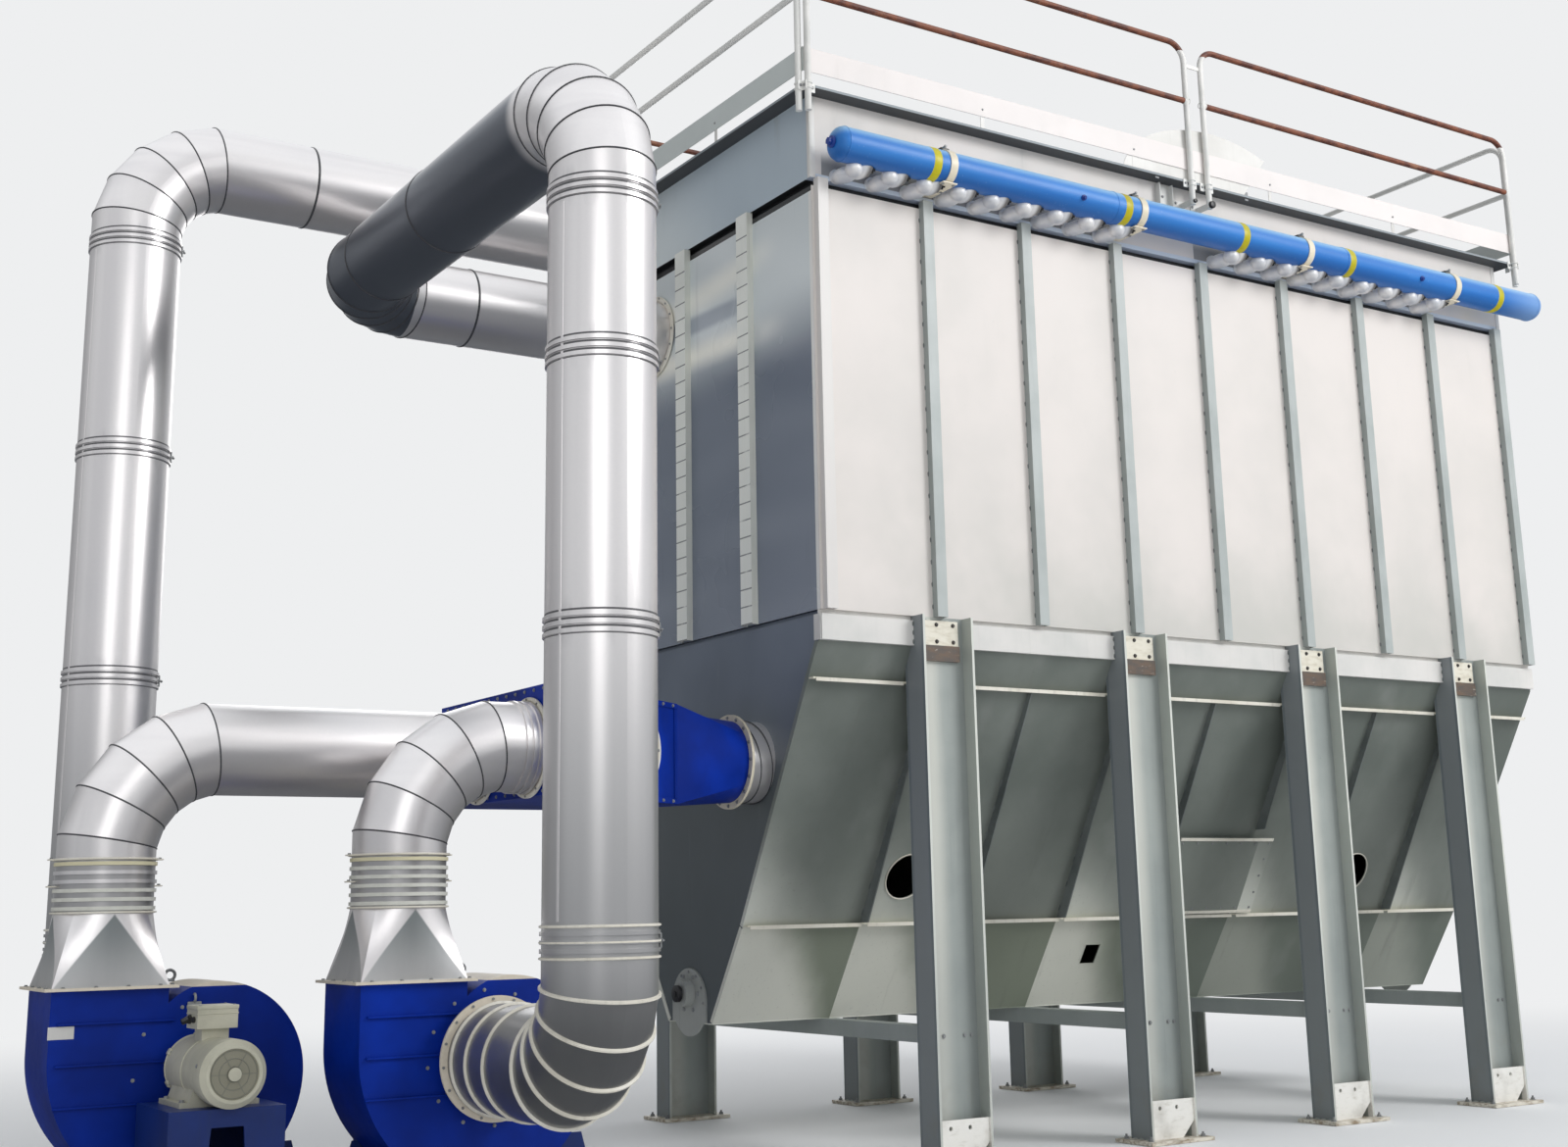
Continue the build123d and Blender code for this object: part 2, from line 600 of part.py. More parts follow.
def fan_parts(axis_x, face_y, motor_in_front):
    """Housing, stand and motor of one fan, outlet up on the left."""
    ax = x_left + axis_x
    y0 = face_y
    y1 = face_y + housing_w
    a = volute_step
    r = [volute_r - k * a for k in range(4)]
    c0 = Vector(0, a / 2)
    c1 = c0 + Vector(0, -a)
    c2 = c1 + Vector(a, 0)
    c3 = c2 + Vector(0, a)
    top_x = -volute_r + outlet_w
    end_z = c3.Y + math.sqrt(r[3] ** 2 - (top_x - c3.X) ** 2)
    mid_a = math.radians(90 + 0.5 * math.degrees(math.acos((end_z - c3.Y) / r[3])))
    outline = [
        Line((-volute_r, outlet_rise), (-volute_r, c0.Y)),
        RadiusArc((-volute_r, c0.Y), (0, c0.Y - r[0]), -r[0]),
        RadiusArc((0, c1.Y - r[1]), (c1.X + r[1], c1.Y), -r[1]),
        RadiusArc((c2.X + r[2], c2.Y), (c2.X, c2.Y + r[2]), -r[2]),
        ThreePointArc((c3.X, c3.Y + r[3]),
                      (c3.X + r[3] * math.cos(mid_a), c3.Y + r[3] * math.sin(mid_a)),
                      (top_x, end_z)),
        Line((top_x, end_z), (top_x, outlet_rise)),
        Line((top_x, outlet_rise), (-volute_r, outlet_rise)),
    ]
    plane = Plane(origin=(ax, y0, fan_axis_z), x_dir=(1, 0, 0), z_dir=(0, -1, 0))
    scroll = make_face(Wire(outline))
    housing = extrude(plane * scroll, amount=-housing_w)
    flange_x = ax - volute_r + outlet_w / 2
    flange = block(flange_x - outlet_w / 2 - outlet_flange, flange_x + outlet_w / 2 + outlet_flange,
                   y0 - outlet_flange, y1 + outlet_flange, fan_axis_z + outlet_rise,
                   fan_axis_z + outlet_rise + outlet_flange_t)
    housing += flange
    for dz in (190, 20, -150):
        housing += block(ax - volute_r + 30, ax - volute_r + 30 + outlet_w,
                         y0 - housing_rib, y0, fan_axis_z + dz, fan_axis_z + dz + housing_rib_t)
    inlet_at = y1 if motor_in_front else y0
    out = 1 if motor_in_front else -1
    inlet_plane = Plane(origin=(ax, inlet_at, fan_axis_z), x_dir=(1, 0, 0), z_dir=(0, out, 0))
    inlet_tube = extrude(inlet_plane * Circle(duct_d / 2), amount=inlet_l)
    ring_plane = inlet_plane.offset(inlet_l - inlet_ring_t)
    inlet_tube += extrude(ring_plane * Circle(duct_d / 2 + inlet_ring), amount=inlet_ring_t)
    housing += inlet_tube

    # Stand: two side plates with a saddle, on two base rails
    lo = fan_axis_z - stand_saddle
    stand = None
    for y in (y0 + 35, y1 - 35 - stand_t):
        web_plane = Plane(origin=(ax, y + stand_t, 0), x_dir=(1, 0, 0), z_dir=(0, -1, 0))
        web = make_face(Polyline((-stand_half_foot, stand_rail), (stand_half_foot, stand_rail),
                                 (stand_half_top, lo), (-stand_half_top, lo), close=True))
        panel = extrude(web_plane * web, amount=stand_t)
        stand = panel if stand is None else stand + panel
    scroll_cut = extrude(Plane(origin=(ax, y1 + 10, fan_axis_z), x_dir=(1, 0, 0),
                               z_dir=(0, -1, 0)) * offset(scroll, amount=clear),
                         amount=housing_w + 20)
    stand -= scroll_cut
    motor_side = -1 if motor_in_front else 1
    motor_face = y0 if motor_in_front else y1
    pedestal_near = motor_face + motor_side * motor_gap
    pedestal_far = pedestal_near + motor_side * (motor_l + cowl_l / 2)
    p0 = min(pedestal_near, pedestal_far)
    p1 = max(pedestal_near, pedestal_far)
    rail_lo = min(y0, p0)
    rail_hi = max(y1, p1)
    rail_off = stand_half_foot - stand_rail
    for x in (-stand_half_foot, rail_off):
        stand += block(ax + x, ax + x + stand_rail, rail_lo, rail_hi, 0, stand_rail)
    for y in (p0, p1 - stand_rail):
        stand += block(ax - rail_off, ax + rail_off, y, y + stand_rail, 0, stand_rail)
    top = fan_axis_z - motor_foot
    half = pedestal_w / 2
    stand += block(ax - half, ax + half, p0, p1, top - stand_t, top)
    low = stand_rail
    high = top - stand_t
    for x in (-half, half - stand_t):
        stand += block(ax + x, ax + x + stand_t, p0 + stand_t, p1 - stand_t, low, high)
    for y in (p0, p1 - stand_t):
        end_plate = block(ax - half, ax + half, y, y + stand_t, low, high)
        cut_face = make_face(Polyline(
            (ax - pedestal_cut / 2, y - 1, low + 40), (ax + pedestal_cut / 2, y - 1, low + 40),
            (ax + pedestal_cut / 3, y - 1, high - 60), (ax - pedestal_cut / 3, y - 1, high - 60),
            close=True))
        stand += end_plate - extrude(cut_face, amount=stand_t + 2, dir=(0, 1, 0))

    # Motor
    motor_plane = Plane(origin=(ax, motor_face, fan_axis_z), x_dir=(1, 0, 0),
                        z_dir=(0, motor_side, 0))
    motor = extrude(motor_plane.offset(motor_gap) * Circle(motor_d / 2), amount=motor_l)
    cowl = extrude(motor_plane.offset(motor_gap + motor_l) * Circle(cowl_d / 2), amount=cowl_l)
    far_rim = cowl.edges().filter_by(GeomType.CIRCLE).sort_by(Axis.Y)[-1 if motor_side > 0 else 0]
    cowl = chamfer(far_rim, cowl_bevel)
    recess = motor_plane.offset(motor_gap + motor_l + cowl_l - 6)
    cowl -= extrude(recess * Circle(cowl_d / 2 - 1.6 * cowl_bevel), amount=7)
    cowl += extrude(recess * Circle(shaft_d * 0.3), amount=12)
    motor += cowl
    motor += extrude(motor_plane * Circle(shaft_d / 2), amount=motor_gap)
    motor += extrude(motor_plane.offset(motor_gap - 30) * Circle(motor_d * 0.36), amount=30)
    body_y = sorted([motor_face + motor_side * motor_gap,
                     motor_face + motor_side * (motor_gap + motor_l)])
    foot_y0 = body_y[0] + 60
    foot_y1 = body_y[1] - 60
    motor += block(ax - motor_foot_w / 2, ax + motor_foot_w / 2, foot_y0, foot_y1,
                   top, top + motor_foot_t)
    neck = make_face(Polyline(
        (ax - motor_neck_w / 2 - 30, foot_y0, top + motor_foot_t),
        (ax + motor_neck_w / 2 + 30, foot_y0, top + motor_foot_t),
        (ax + motor_neck_w / 2 - 10, foot_y0, fan_axis_z),
        (ax - motor_neck_w / 2 + 10, foot_y0, fan_axis_z), close=True))
    motor += extrude(neck, amount=foot_y1 - foot_y0, dir=(0, 1, 0))
    box_y = (body_y[0] + body_y[1]) / 2
    box_top = fan_axis_z + motor_d / 2 + box_rise
    motor += block(ax - box_w / 3, ax + box_w / 3, box_y - box_l / 3, box_y + box_l / 3,
                   fan_axis_z, box_top - box_h)
    motor += block(ax - box_w / 2, ax + box_w / 2, box_y - box_l / 2, box_y + box_l / 2,
                   box_top - box_h, box_top)
    return housing, stand, motor, (flange_x, (y0 + y1) / 2,
                                   fan_axis_z + outlet_rise + outlet_flange_t)


def discharge(outlet, reach_x):
    """Square to round transition, ribbed collar and segmented bend to the header."""
    ox, oy, oz = outlet
    square = Pos(ox, oy, oz) * Rectangle(outlet_w, housing_w)
    ring = Pos(ox, oy, oz + transition_h) * Circle(discharge_d / 2)
    outer = loft([square, ring])
    square_in = Pos(ox, oy, oz) * Rectangle(outlet_w - 2 * duct_t, housing_w - 2 * duct_t)
    ring_in = Pos(ox, oy, oz + transition_h) * Circle(discharge_d / 2 - duct_t)
    hood = outer - loft([square_in, ring_in])
    z1 = oz + transition_h
    z2 = z1 + collar_h
    axis_z = z2 + discharge_bend
    path = [(ox, oy, z1), (ox, oy, axis_z), (reach_x, oy, axis_z)]
    bands = [(Vector(reach_x - 2 * bead_pitch, oy, axis_z), Vector(1, 0, 0))]
    bend = duct(path, [discharge_bend], discharge_d, bands)
    pitch = collar_h / collar_rings
    collar = beads(Vector(ox, oy, (z1 + z2) / 2), Vector(0, 0, 1), discharge_d / 2,
                   collar_rings, pitch)
    bore = Pos(ox, oy, (z1 + z2) / 2) * Cylinder(discharge_d / 2 - duct_t, collar_h + 40)
    rings = [ring - bore for ring in collar]
    return hood + bend + rings, axis_z


housing_right, stand_right, motor_right, outlet_right = fan_parts(fan_right_x, fan_right_y, False)
housing_left, stand_left, motor_left, outlet_left = fan_parts(fan_left_x, fan_left_y, True)
header_left_face = x_left + header_x0
discharge_right, discharge_z = discharge(outlet_right, header_left_face - clear)
discharge_left, _ = discharge(outlet_left, header_left_face - clear)

# Inlet header: a tapering box, a round throat, its flange and a spiral duct
header_z = discharge_z + header_lift
throat_x = x_left + header_x1


def header_form(skin):
    """Tapering box and round throat, set in by a skin."""
    wide = Plane(origin=(header_left_face, (header_y0 + header_y1) / 2, header_z),
                 x_dir=(0, 1, 0), z_dir=(1, 0, 0))
    narrow = Plane(origin=(throat_x, (header_throat_y0 + header_y1) / 2, header_z),
                   x_dir=(0, 1, 0), z_dir=(1, 0, 0))
    box = loft([wide * Rectangle(header_y1 - header_y0 - 2 * skin, header_h - 2 * skin),
                narrow * Rectangle(header_y1 - header_throat_y0 - 2 * skin, header_h - 2 * skin)])
    mouth = Plane(origin=(x_left + spiral_x - header_flange_t, spiral_y, header_z),
                  x_dir=(0, 1, 0), z_dir=(1, 0, 0))
    throat = loft([narrow * Rectangle(header_y1 - header_throat_y0 - 2 * skin,
                                      header_h - 2 * skin),
                   mouth * Circle(spiral_d / 2 - skin)])
    return box + throat


header = header_form(0) - header_form(header_t)
end_plane = Plane(origin=(header_left_face, (header_y0 + header_y1) / 2, header_z),
                  x_dir=(0, 1, 0), z_dir=(1, 0, 0))
header += extrude(end_plane * Rectangle(header_y1 - header_y0, header_h), amount=header_t)
for outlet in (outlet_left, outlet_right):
    hole_plane = Plane(origin=(header_left_face - header_t, outlet[1], discharge_z),
                       z_dir=(1, 0, 0))
    header -= extrude(hole_plane * Circle(discharge_d / 2 - duct_t), amount=3 * header_t)

flange_plane = Plane(origin=(x_left + spiral_x - header_flange_t, spiral_y, header_z),
                     x_dir=(0, 1, 0), z_dir=(1, 0, 0))
header_flange_ring = extrude(flange_plane * (Circle(spiral_d / 2 + header_flange)
                                             - Circle(spiral_d / 2 - duct_t)),
                             amount=header_flange_t)
spiral_duct = extrude(flange_plane.offset(header_flange_t)
                      * (Circle(spiral_d / 2) - Circle(spiral_d / 2 - duct_t)), amount=-spiral_x)
hopper_end_left -= extrude(flange_plane.offset(header_flange_t - spiral_x - 1)
                           * Circle(spiral_d / 2 - duct_t), amount=hopper_end_t + 2)

taper = Vector(throat_x - header_left_face, header_throat_y0 - header_y0, 0)
taper_out = Vector(taper.Y, -taper.X, 0).normalized()
cover_at = Vector(header_left_face, header_y0, header_z) + taper * 0.68
cover_plane = Plane(origin=cover_at + taper_out * clear, x_dir=taper.normalized(),
                    z_dir=taper_out)
header_cover = extrude(cover_plane * Circle(cover_d / 2), amount=cover_t)

# Risers
rx = x_left + fan_right_x
riser_right_path = [
    (rx, fan_right_y - inlet_l - clear, fan_axis_z), (rx, riser_right_y, fan_axis_z),
    (rx, riser_right_y, cross_z), (rx, cross_y, cross_z), (x_left - clear, cross_y, cross_z)]
up = Vector(0, 0, 1)
foot_top = fan_axis_z + foot_bend
riser_right_bands = [(Vector(rx, riser_right_y, foot_top + k * (cross_z - top_bend - foot_top)), up)
                     for k in front_joints]
riser_right = duct(riser_right_path, [foot_bend, top_bend, side_bend], duct_d, riser_right_bands)

lx = x_left + fan_left_x
riser_left_path = [
    (lx, fan_left_y + housing_w + inlet_l + clear, fan_axis_z), (lx, riser_left_y, fan_axis_z),
    (lx, riser_left_y, back_run_z), (plenum_x0 - clear, riser_left_y, back_run_z)]
riser_left_bands = [(Vector(lx, riser_left_y, foot_top + k * (back_run_z - top_bend - foot_top)), up)
                    for k in back_joints]
riser_left = duct(riser_left_path, [foot_bend, top_bend], duct_back_d, riser_left_bands)

# Compressed air manifold, straps and pulse valves
man_x0 = x_left + 10
man_x1 = x_right + manifold_past
man_plane = Plane(origin=(man_x0, manifold_y, manifold_z), x_dir=(0, 1, 0), z_dir=(1, 0, 0))
manifold = extrude(man_plane * Circle(manifold_d / 2), amount=man_x1 - man_x0)
manifold = fillet(manifold.edges().filter_by(GeomType.CIRCLE), manifold_d * 0.3)

strap_ring = (Circle(manifold_d / 2 + clear + strap_t) - Circle(manifold_d / 2 + clear))


def strap(x):
    """Band round the manifold, welded to a flat arm from the plenum."""
    plane = Plane(origin=(x, manifold_y, manifold_z), x_dir=(0, 1, 0), z_dir=(1, 0, 0))
    ring = extrude(plane * strap_ring, amount=strap_w / 2, both=True)
    low = manifold_z - manifold_d / 2 - clear - strap_t
    arm = block(x - strap_w, x + strap_w, manifold_y - strap_foot, plenum_y0,
                low - strap_t / 2, low + strap_t / 2)
    return ring + arm


strap_x = [column_x[i] for i in strap_columns]
manifold_straps = Compound([strap(x) for x in strap_x])

valve_z = plenum_bottom + pipe_rise
valve_y = manifold_y + valve_back
valve_room = extrude(Plane(origin=(0, manifold_y, manifold_z), x_dir=(0, 1, 0),
                           z_dir=(1, 0, 0)) * Circle(manifold_d / 2 + clear),
                     amount=valve_d, both=True)


def valve(x):
    """Round valve under the manifold with its pipe into the plenum."""
    body = Pos(0, valve_y, valve_z) * Sphere(valve_d / 2)
    plane = Plane(origin=(0, valve_y, valve_z), x_dir=(1, 0, 0), z_dir=(0, 1, 0))
    reach = plenum_y0 - valve_y
    body += extrude(plane * Circle(valve_pipe / 2), amount=reach)
    body += extrude(plane.offset(reach - valve_nut_l) * Circle(valve_nut / 2),
                    amount=valve_nut_l)
    return Pos(x, 0, 0) * (body - valve_room)


valve_pitch = bay / valves_per_bay
valves = []
for i in valve_bays:
    for k in range(valves_per_bay):
        valves.append(valve(column_x[i] + valve_pitch * (k + 0.5)))
pulse_valves = Compound(valves)

NODES = {
    "casing_front_wall": front_wall,
    "casing_back_wall": back_wall,
    "casing_left_wall": left_wall,
    "casing_right_wall": right_wall,
    "casing_columns": columns,
    "casing_end_stiffeners": end_stiffener_set,
    "tube_sheet": tube_sheet,
    "plenum": plenum,
    "roof_deck": deck,
    "toe_boards": toe_boards,
    "handrail_front_left": rail_front_left,
    "handrail_front_right": rail_front_right,
    "handrail_left": rail_left,
    "handrail_right": rail_right,
    "handrail_back": rail_back,
    "ring_beam_sides": beam_sides,
    "ring_beam_ends": beam_ends,
    "legs_front": front_legs,
    "legs_back": back_legs,
    "tie_beams": tie_beams,
    "hopper_front_plate": hopper_front,
    "hopper_back_plate": hopper_back,
    "hopper_left_end": hopper_end_left,
    "hopper_right_end": hopper_end_right,
    "hopper_floor": hopper_floor,
    "hopper_stiffeners": hopper_stiffeners,
    "hopper_hatch": hatch,
    "screw_end_plates": screw_ends,
    "fan_right_housing": housing_right,
    "fan_right_stand": stand_right,
    "fan_right_motor": motor_right,
    "fan_right_discharge": discharge_right,
    "fan_left_housing": housing_left,
    "fan_left_stand": stand_left,
    "fan_left_motor": motor_left,
    "fan_left_discharge": discharge_left,
    "inlet_header": header,
    "inlet_header_fittings": Compound([header_flange_ring, header_cover]),
    "hopper_inlet_duct": spiral_duct,
    "riser_right": riser_right,
    "riser_left": riser_left,
    "air_manifold": manifold,
    "manifold_straps": manifold_straps,
    "pulse_valves": pulse_valves,
}

for name, shape in NODES.items():
    export_step(shape, f"parts/{name}.step")
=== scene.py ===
import math
import bmesh
import bpy
from mathutils import Matrix, Vector


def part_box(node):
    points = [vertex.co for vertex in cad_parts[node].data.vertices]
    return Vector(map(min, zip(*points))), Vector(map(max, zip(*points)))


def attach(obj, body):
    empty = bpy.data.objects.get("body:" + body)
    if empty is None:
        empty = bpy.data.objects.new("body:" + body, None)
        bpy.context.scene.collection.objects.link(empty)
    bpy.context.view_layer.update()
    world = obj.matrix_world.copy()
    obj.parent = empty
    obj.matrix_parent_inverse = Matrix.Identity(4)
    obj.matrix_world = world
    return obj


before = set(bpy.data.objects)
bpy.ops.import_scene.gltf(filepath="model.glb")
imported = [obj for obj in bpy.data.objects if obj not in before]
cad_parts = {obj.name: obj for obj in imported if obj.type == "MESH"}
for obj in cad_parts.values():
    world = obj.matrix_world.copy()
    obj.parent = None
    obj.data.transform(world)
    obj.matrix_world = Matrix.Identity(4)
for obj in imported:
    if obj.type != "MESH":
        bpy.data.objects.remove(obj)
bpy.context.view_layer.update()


# Places and sizes in metres, partly read from the model's parts. Places and sizes taken
# from the frame, in metres

def ends(node):
    """Lowest and highest corner of a node."""
    low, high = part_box(node)
    return Vector(low), Vector(high)


wall_lo, wall_hi = ends("casing_front_wall")
left_x, right_x = wall_lo.x, wall_hi.x
casing_bottom, casing_top = wall_lo.z, wall_hi.z
front_y = wall_lo.y
mid_y = (front_y + ends("casing_back_wall")[1].y) / 2
bay = 0.74
column_w, column_d = 0.07, 0.045
column_x = [left_x + 0.05 + bay * i for i in range(9)]
leg_x = column_x[1::2]
leg_h, leg_b, leg_web, leg_flange = 0.35, 0.175, 0.010, 0.015
head_bottom, head_top, rusty_bottom = 2.7395, 2.8805, 2.651
foot_plate = 0.02
plenum_lo, plenum_hi = ends("plenum")
plenum_h = plenum_hi.z - plenum_lo.z
deck_lo, deck_hi = ends("roof_deck")
toe_lo, toe_hi = ends("toe_boards")
rail_r = 0.019
rail_lo, rail_hi = ends("handrail_front_left")
next_rail_lo, next_rail_hi = ends("handrail_front_right")
knee_rail_z = deck_hi.z + 0.545
top_rail_z = rail_hi.z - rail_r
middle_post_x = left_x + 2.86
post_split = 0.148
front_post_x = (rail_lo.x + rail_r, middle_post_x, next_rail_lo.x + rail_r,
                next_rail_hi.x - rail_r)
manifold_lo, manifold_hi = ends("air_manifold")
manifold_r = 0.1
manifold_y = (manifold_lo.y + manifold_hi.y) / 2
manifold_z = (manifold_lo.z + manifold_hi.z) / 2
valve_pitch = bay / 3
valve_bays = (0, 1, 2, 4, 5, 6)
bare_bay_x = column_x[3] + 0.33
beam_bottom = ends("ring_beam_sides")[0].z
beam_top = beam_bottom + 0.14
upper_lip_z = 2.535
slope_y, knee_y, knee_z = 0.025, 0.85, 1.23
slope = (knee_y - slope_y) / (beam_bottom - knee_z)
screw_z = 0.86

# Fans: axis, front and back faces of the housing, side of the inlet, outlet's middle
fan_z = 0.715
fans = {
    "right": {"x": -2.825, "front": -0.333, "back": 0.117, "inlet": -1, "outlet": (-3.18, -0.108)},
    "left": {"x": -3.97, "front": 0.247, "back": 0.697, "inlet": 1, "outlet": (-4.325, 0.472)}}
outlet_z = 1.057
collar_z = outlet_z + 0.31
collar_top = collar_z + 0.23
discharge_z = collar_top + 0.5
discharge_r = 0.21

# Ducts: radii, and the corners of the two risers' axes
duct_r, back_duct_r = 0.235, 0.243
gores = 5
header_face = ends("inlet_header")[0].x
header_z = discharge_z + 0.03
inlet_duct_y = 0.709
cross_z = casing_top - 0.415
back_run_z = plenum_lo.z + 0.247
riser_x, riser_y, cross_y = fans["right"]["x"], -1.4, 1.85
back_riser_x, back_riser_y = fans["left"]["x"], 2.16
riser_path = [(riser_x, -0.4233, fan_z), (riser_x, riser_y, fan_z), (riser_x, riser_y, cross_z),
              (riser_x, cross_y, cross_z), (left_x, cross_y, cross_z)]
back_riser_path = [(back_riser_x, 0.7873, fan_z), (back_riser_x, back_riser_y, fan_z),
                   (back_riser_x, back_riser_y, back_run_z),
                   (plenum_lo.x, back_riser_y, back_run_z)]
foot_top = fan_z + 0.37
riser_joints = [foot_top + k * (cross_z - 0.5 - foot_top) for k in (0.04, 0.42, 0.77, 0.985)]
back_joints = [foot_top + k * (back_run_z - 0.5 - foot_top)
               for k in (0.035, 0.375, 0.685, 0.985)]

to_right, to_left = Vector((1, 0, 0)), Vector((-1, 0, 0))
to_front, to_back = Vector((0, -1, 0)), Vector((0, 1, 0))
up, down = Vector((0, 0, 1)), Vector((0, 0, -1))
both_ways = (-1, 1)


# Shader values and finishes

def srgb(red, green, blue):
    """Colour of a paint card as a shader colour."""
    def channel(value):
        value /= 255
        return value / 12.92 if value <= 0.04045 else ((value + 0.055) / 1.055) ** 2.4
    return channel(red), channel(green), channel(blue), 1.0


def shade(colour):
    """A paint card's three numbers as a shader colour; anything else as it is."""
    return srgb(*colour) if isinstance(colour, tuple) and len(colour) == 3 else colour


class Value:
    """A shader value; sums, products and the like add their Math nodes."""

    def __init__(self, owner, socket):
        self.owner = owner
        self.socket = socket

    def math(self, operation, *others):
        inputs = dict(enumerate((self,) + others))
        return self.owner.node("ShaderNodeMath", {"operation": operation}, inputs)

    def __add__(self, other):
        return self.math("ADD", other)

    __radd__ = __add__

    def __mul__(self, other):
        return self.math("MULTIPLY", other)

    __rmul__ = __mul__

    def __sub__(self, other):
        return self.math("SUBTRACT", other)

    def __rsub__(self, other):
        return self.owner.node("ShaderNodeMath", {"operation": "SUBTRACT"}, {0: other, 1: self})

    def __truediv__(self, other):
        return self.math("DIVIDE", other)

    def __abs__(self):
        return self.math("ABSOLUTE")

    def over(self, edge):
        """1 above an edge, else 0."""
        return self.math("GREATER_THAN", edge)

    def under(self, edge):
        """1 below an edge, else 0."""
        return self.math("LESS_THAN", edge)

    def rise(self, low, high):
        """0 below low, 1 above high, smooth between; high may lie below low."""
        return self.owner.node(
            "ShaderNodeMapRange", {"interpolation_type": "SMOOTHSTEP", "clamp": True},
            {0: self, 1: low, 2: high, 3: 0.0, 4: 1.0})

    def both(self, other):
        """The larger of two masks."""
        return self.math("MAXIMUM", other)

    def phase(self, length):
        """Place within a length that repeats."""
        return self.math("MODULO", length)


class Finish:
    """A material for the plant, in object coordinates; a sky brings its own node tree."""

    def __init__(self, name, tree=None):
        if tree is None:
            self.material = bpy.data.materials.new(name)
            self.material.use_nodes = True
            tree = self.material.node_tree
            self.shader = tree.nodes["Principled BSDF"]
        self.tree = tree

    def node(self, kind, settings=None, inputs=None, output=0):
        """Adds a node, its settings and its inputs, and gives one output."""
        made = self.tree.nodes.new(kind)
        for key, value in (settings or {}).items():
            setattr(made, key, value)
        for key, value in (inputs or {}).items():
            self.feed(made.inputs[key], value)
        return Value(self, made.outputs[output])

    def feed(self, socket, value):
        if isinstance(value, Value):
            self.tree.links.new(value.socket, socket)
        else:
            socket.default_value = value

    def place(self, stretch=(1, 1, 1), shift=(0, 0, 0)):
        """Object coordinates, stretched for streaks and patches."""
        at = self.node("ShaderNodeTexCoord", output="Object")
        return self.node("ShaderNodeMapping", {}, {0: at, 1: shift, 3: stretch})

    def axes(self, wanted="xyz"):
        """X, Y and Z of the point, or the ones asked for."""
        at = self.node("ShaderNodeTexCoord", output="Object")
        parts = [self.node("ShaderNodeSeparateXYZ", {}, {0: at}, "xyz".index(letter))
                 for letter in wanted]
        return parts if len(parts) > 1 else parts[0]

    def cloud(self, scale, detail=3.0, stretch=(1, 1, 1), shift=(0, 0, 0), rough=0.55):
        """Noise about 0.5."""
        return self.node("ShaderNodeTexNoise", {},
                         {"Vector": self.place(stretch, shift), "Scale": scale,
                          "Detail": detail, "Roughness": rough})

    def grey(self, kind, settings, inputs, output=0):
        """Level of a texture that gives colours."""
        made = self.node(kind, settings, inputs, output)
        return self.node("ShaderNodeRGBToBW", {}, {0: made})

    def mix(self, mask, first, second):
        """Colour between two colours."""
        return self.node("ShaderNodeMix", {"data_type": "RGBA"},
                         {0: mask, 6: shade(first), 7: shade(second)}, 2)

    def coats(self, tint, *coats):
        """Lays colours over a first one, each where its mask is 1."""
        for mask, colour in coats:
            tint = self.mix(mask, tint, colour)
        return tint

    def bump(self, height, strength=0.3, distance=0.01):
        return self.node("ShaderNodeBump", {},
                         {"Height": height, "Strength": strength, "Distance": distance})

    def set(self, **sockets):
        """Base Color, Roughness and so on; an underscore stands for a space."""
        for key, value in sockets.items():
            self.feed(self.shader.inputs[key.replace("_", " ")], value)
        return self.material


def dress(material, *nodes):
    """Gives CAD nodes a finish."""
    for name in nodes:
        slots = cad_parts[name].data.materials
        if not len(slots):
            slots.append(material)
        for i in range(len(slots)):
            slots[i] = material


# Mesh helpers

def facing(at, out, turn=0.0):
    """Matrix that stands a shape on a point with its Z along out."""
    aim = Vector(out).to_track_quat("Z", "Y").to_matrix().to_4x4()
    return Matrix.Translation(at) @ aim @ Matrix.Rotation(turn, 4, "Z")


def laid(at, out, along):
    """Matrix that lays a shape on a point with its X along a line and its Z along out."""
    along = (along - out * along.dot(out)).normalized()
    turn = Matrix((along, out.cross(along), out)).transposed().to_4x4()
    return Matrix.Translation(at) @ turn


def soften(mesh, edges, width, segments):
    """Rounds edges."""
    bmesh.ops.bevel(mesh, geom=list(edges), offset=width, offset_type="OFFSET",
                    segments=segments, affect="EDGES", profile=0.5, material=-1)


def disc(mesh, at, out, radius, height, segments=24, bevel=0.0, top=None, turn=0.0):
    """Round or many-sided boss with its foot on a point."""
    out = Vector(out).normalized()
    at = Vector(at)
    made = bmesh.ops.create_cone(
        mesh, cap_ends=True, segments=segments, radius1=radius,
        radius2=radius if top is None else top, depth=height,
        matrix=facing(at + out * height / 2, out, turn))
    if bevel:
        far = [v for v in made["verts"] if (v.co - at).dot(out) > height / 2]
        soften(mesh, {e for v in far for e in v.link_edges if e.other_vert(v) in far}, bevel, 2)


def bar(mesh, at, out, along, size, bevel=0.0, segments=1):
    """Flat bar with its foot on a point: size gives its length, width and thickness."""
    out = Vector(out).normalized()
    made = bmesh.ops.create_cube(
        mesh, size=1.0, matrix=laid(Vector(at) + out * size[2] / 2, out, Vector(along))
        @ Matrix.Diagonal((*size, 1.0)))
    if bevel:
        soften(mesh, {e for v in made["verts"] for e in v.link_edges}, bevel, segments)


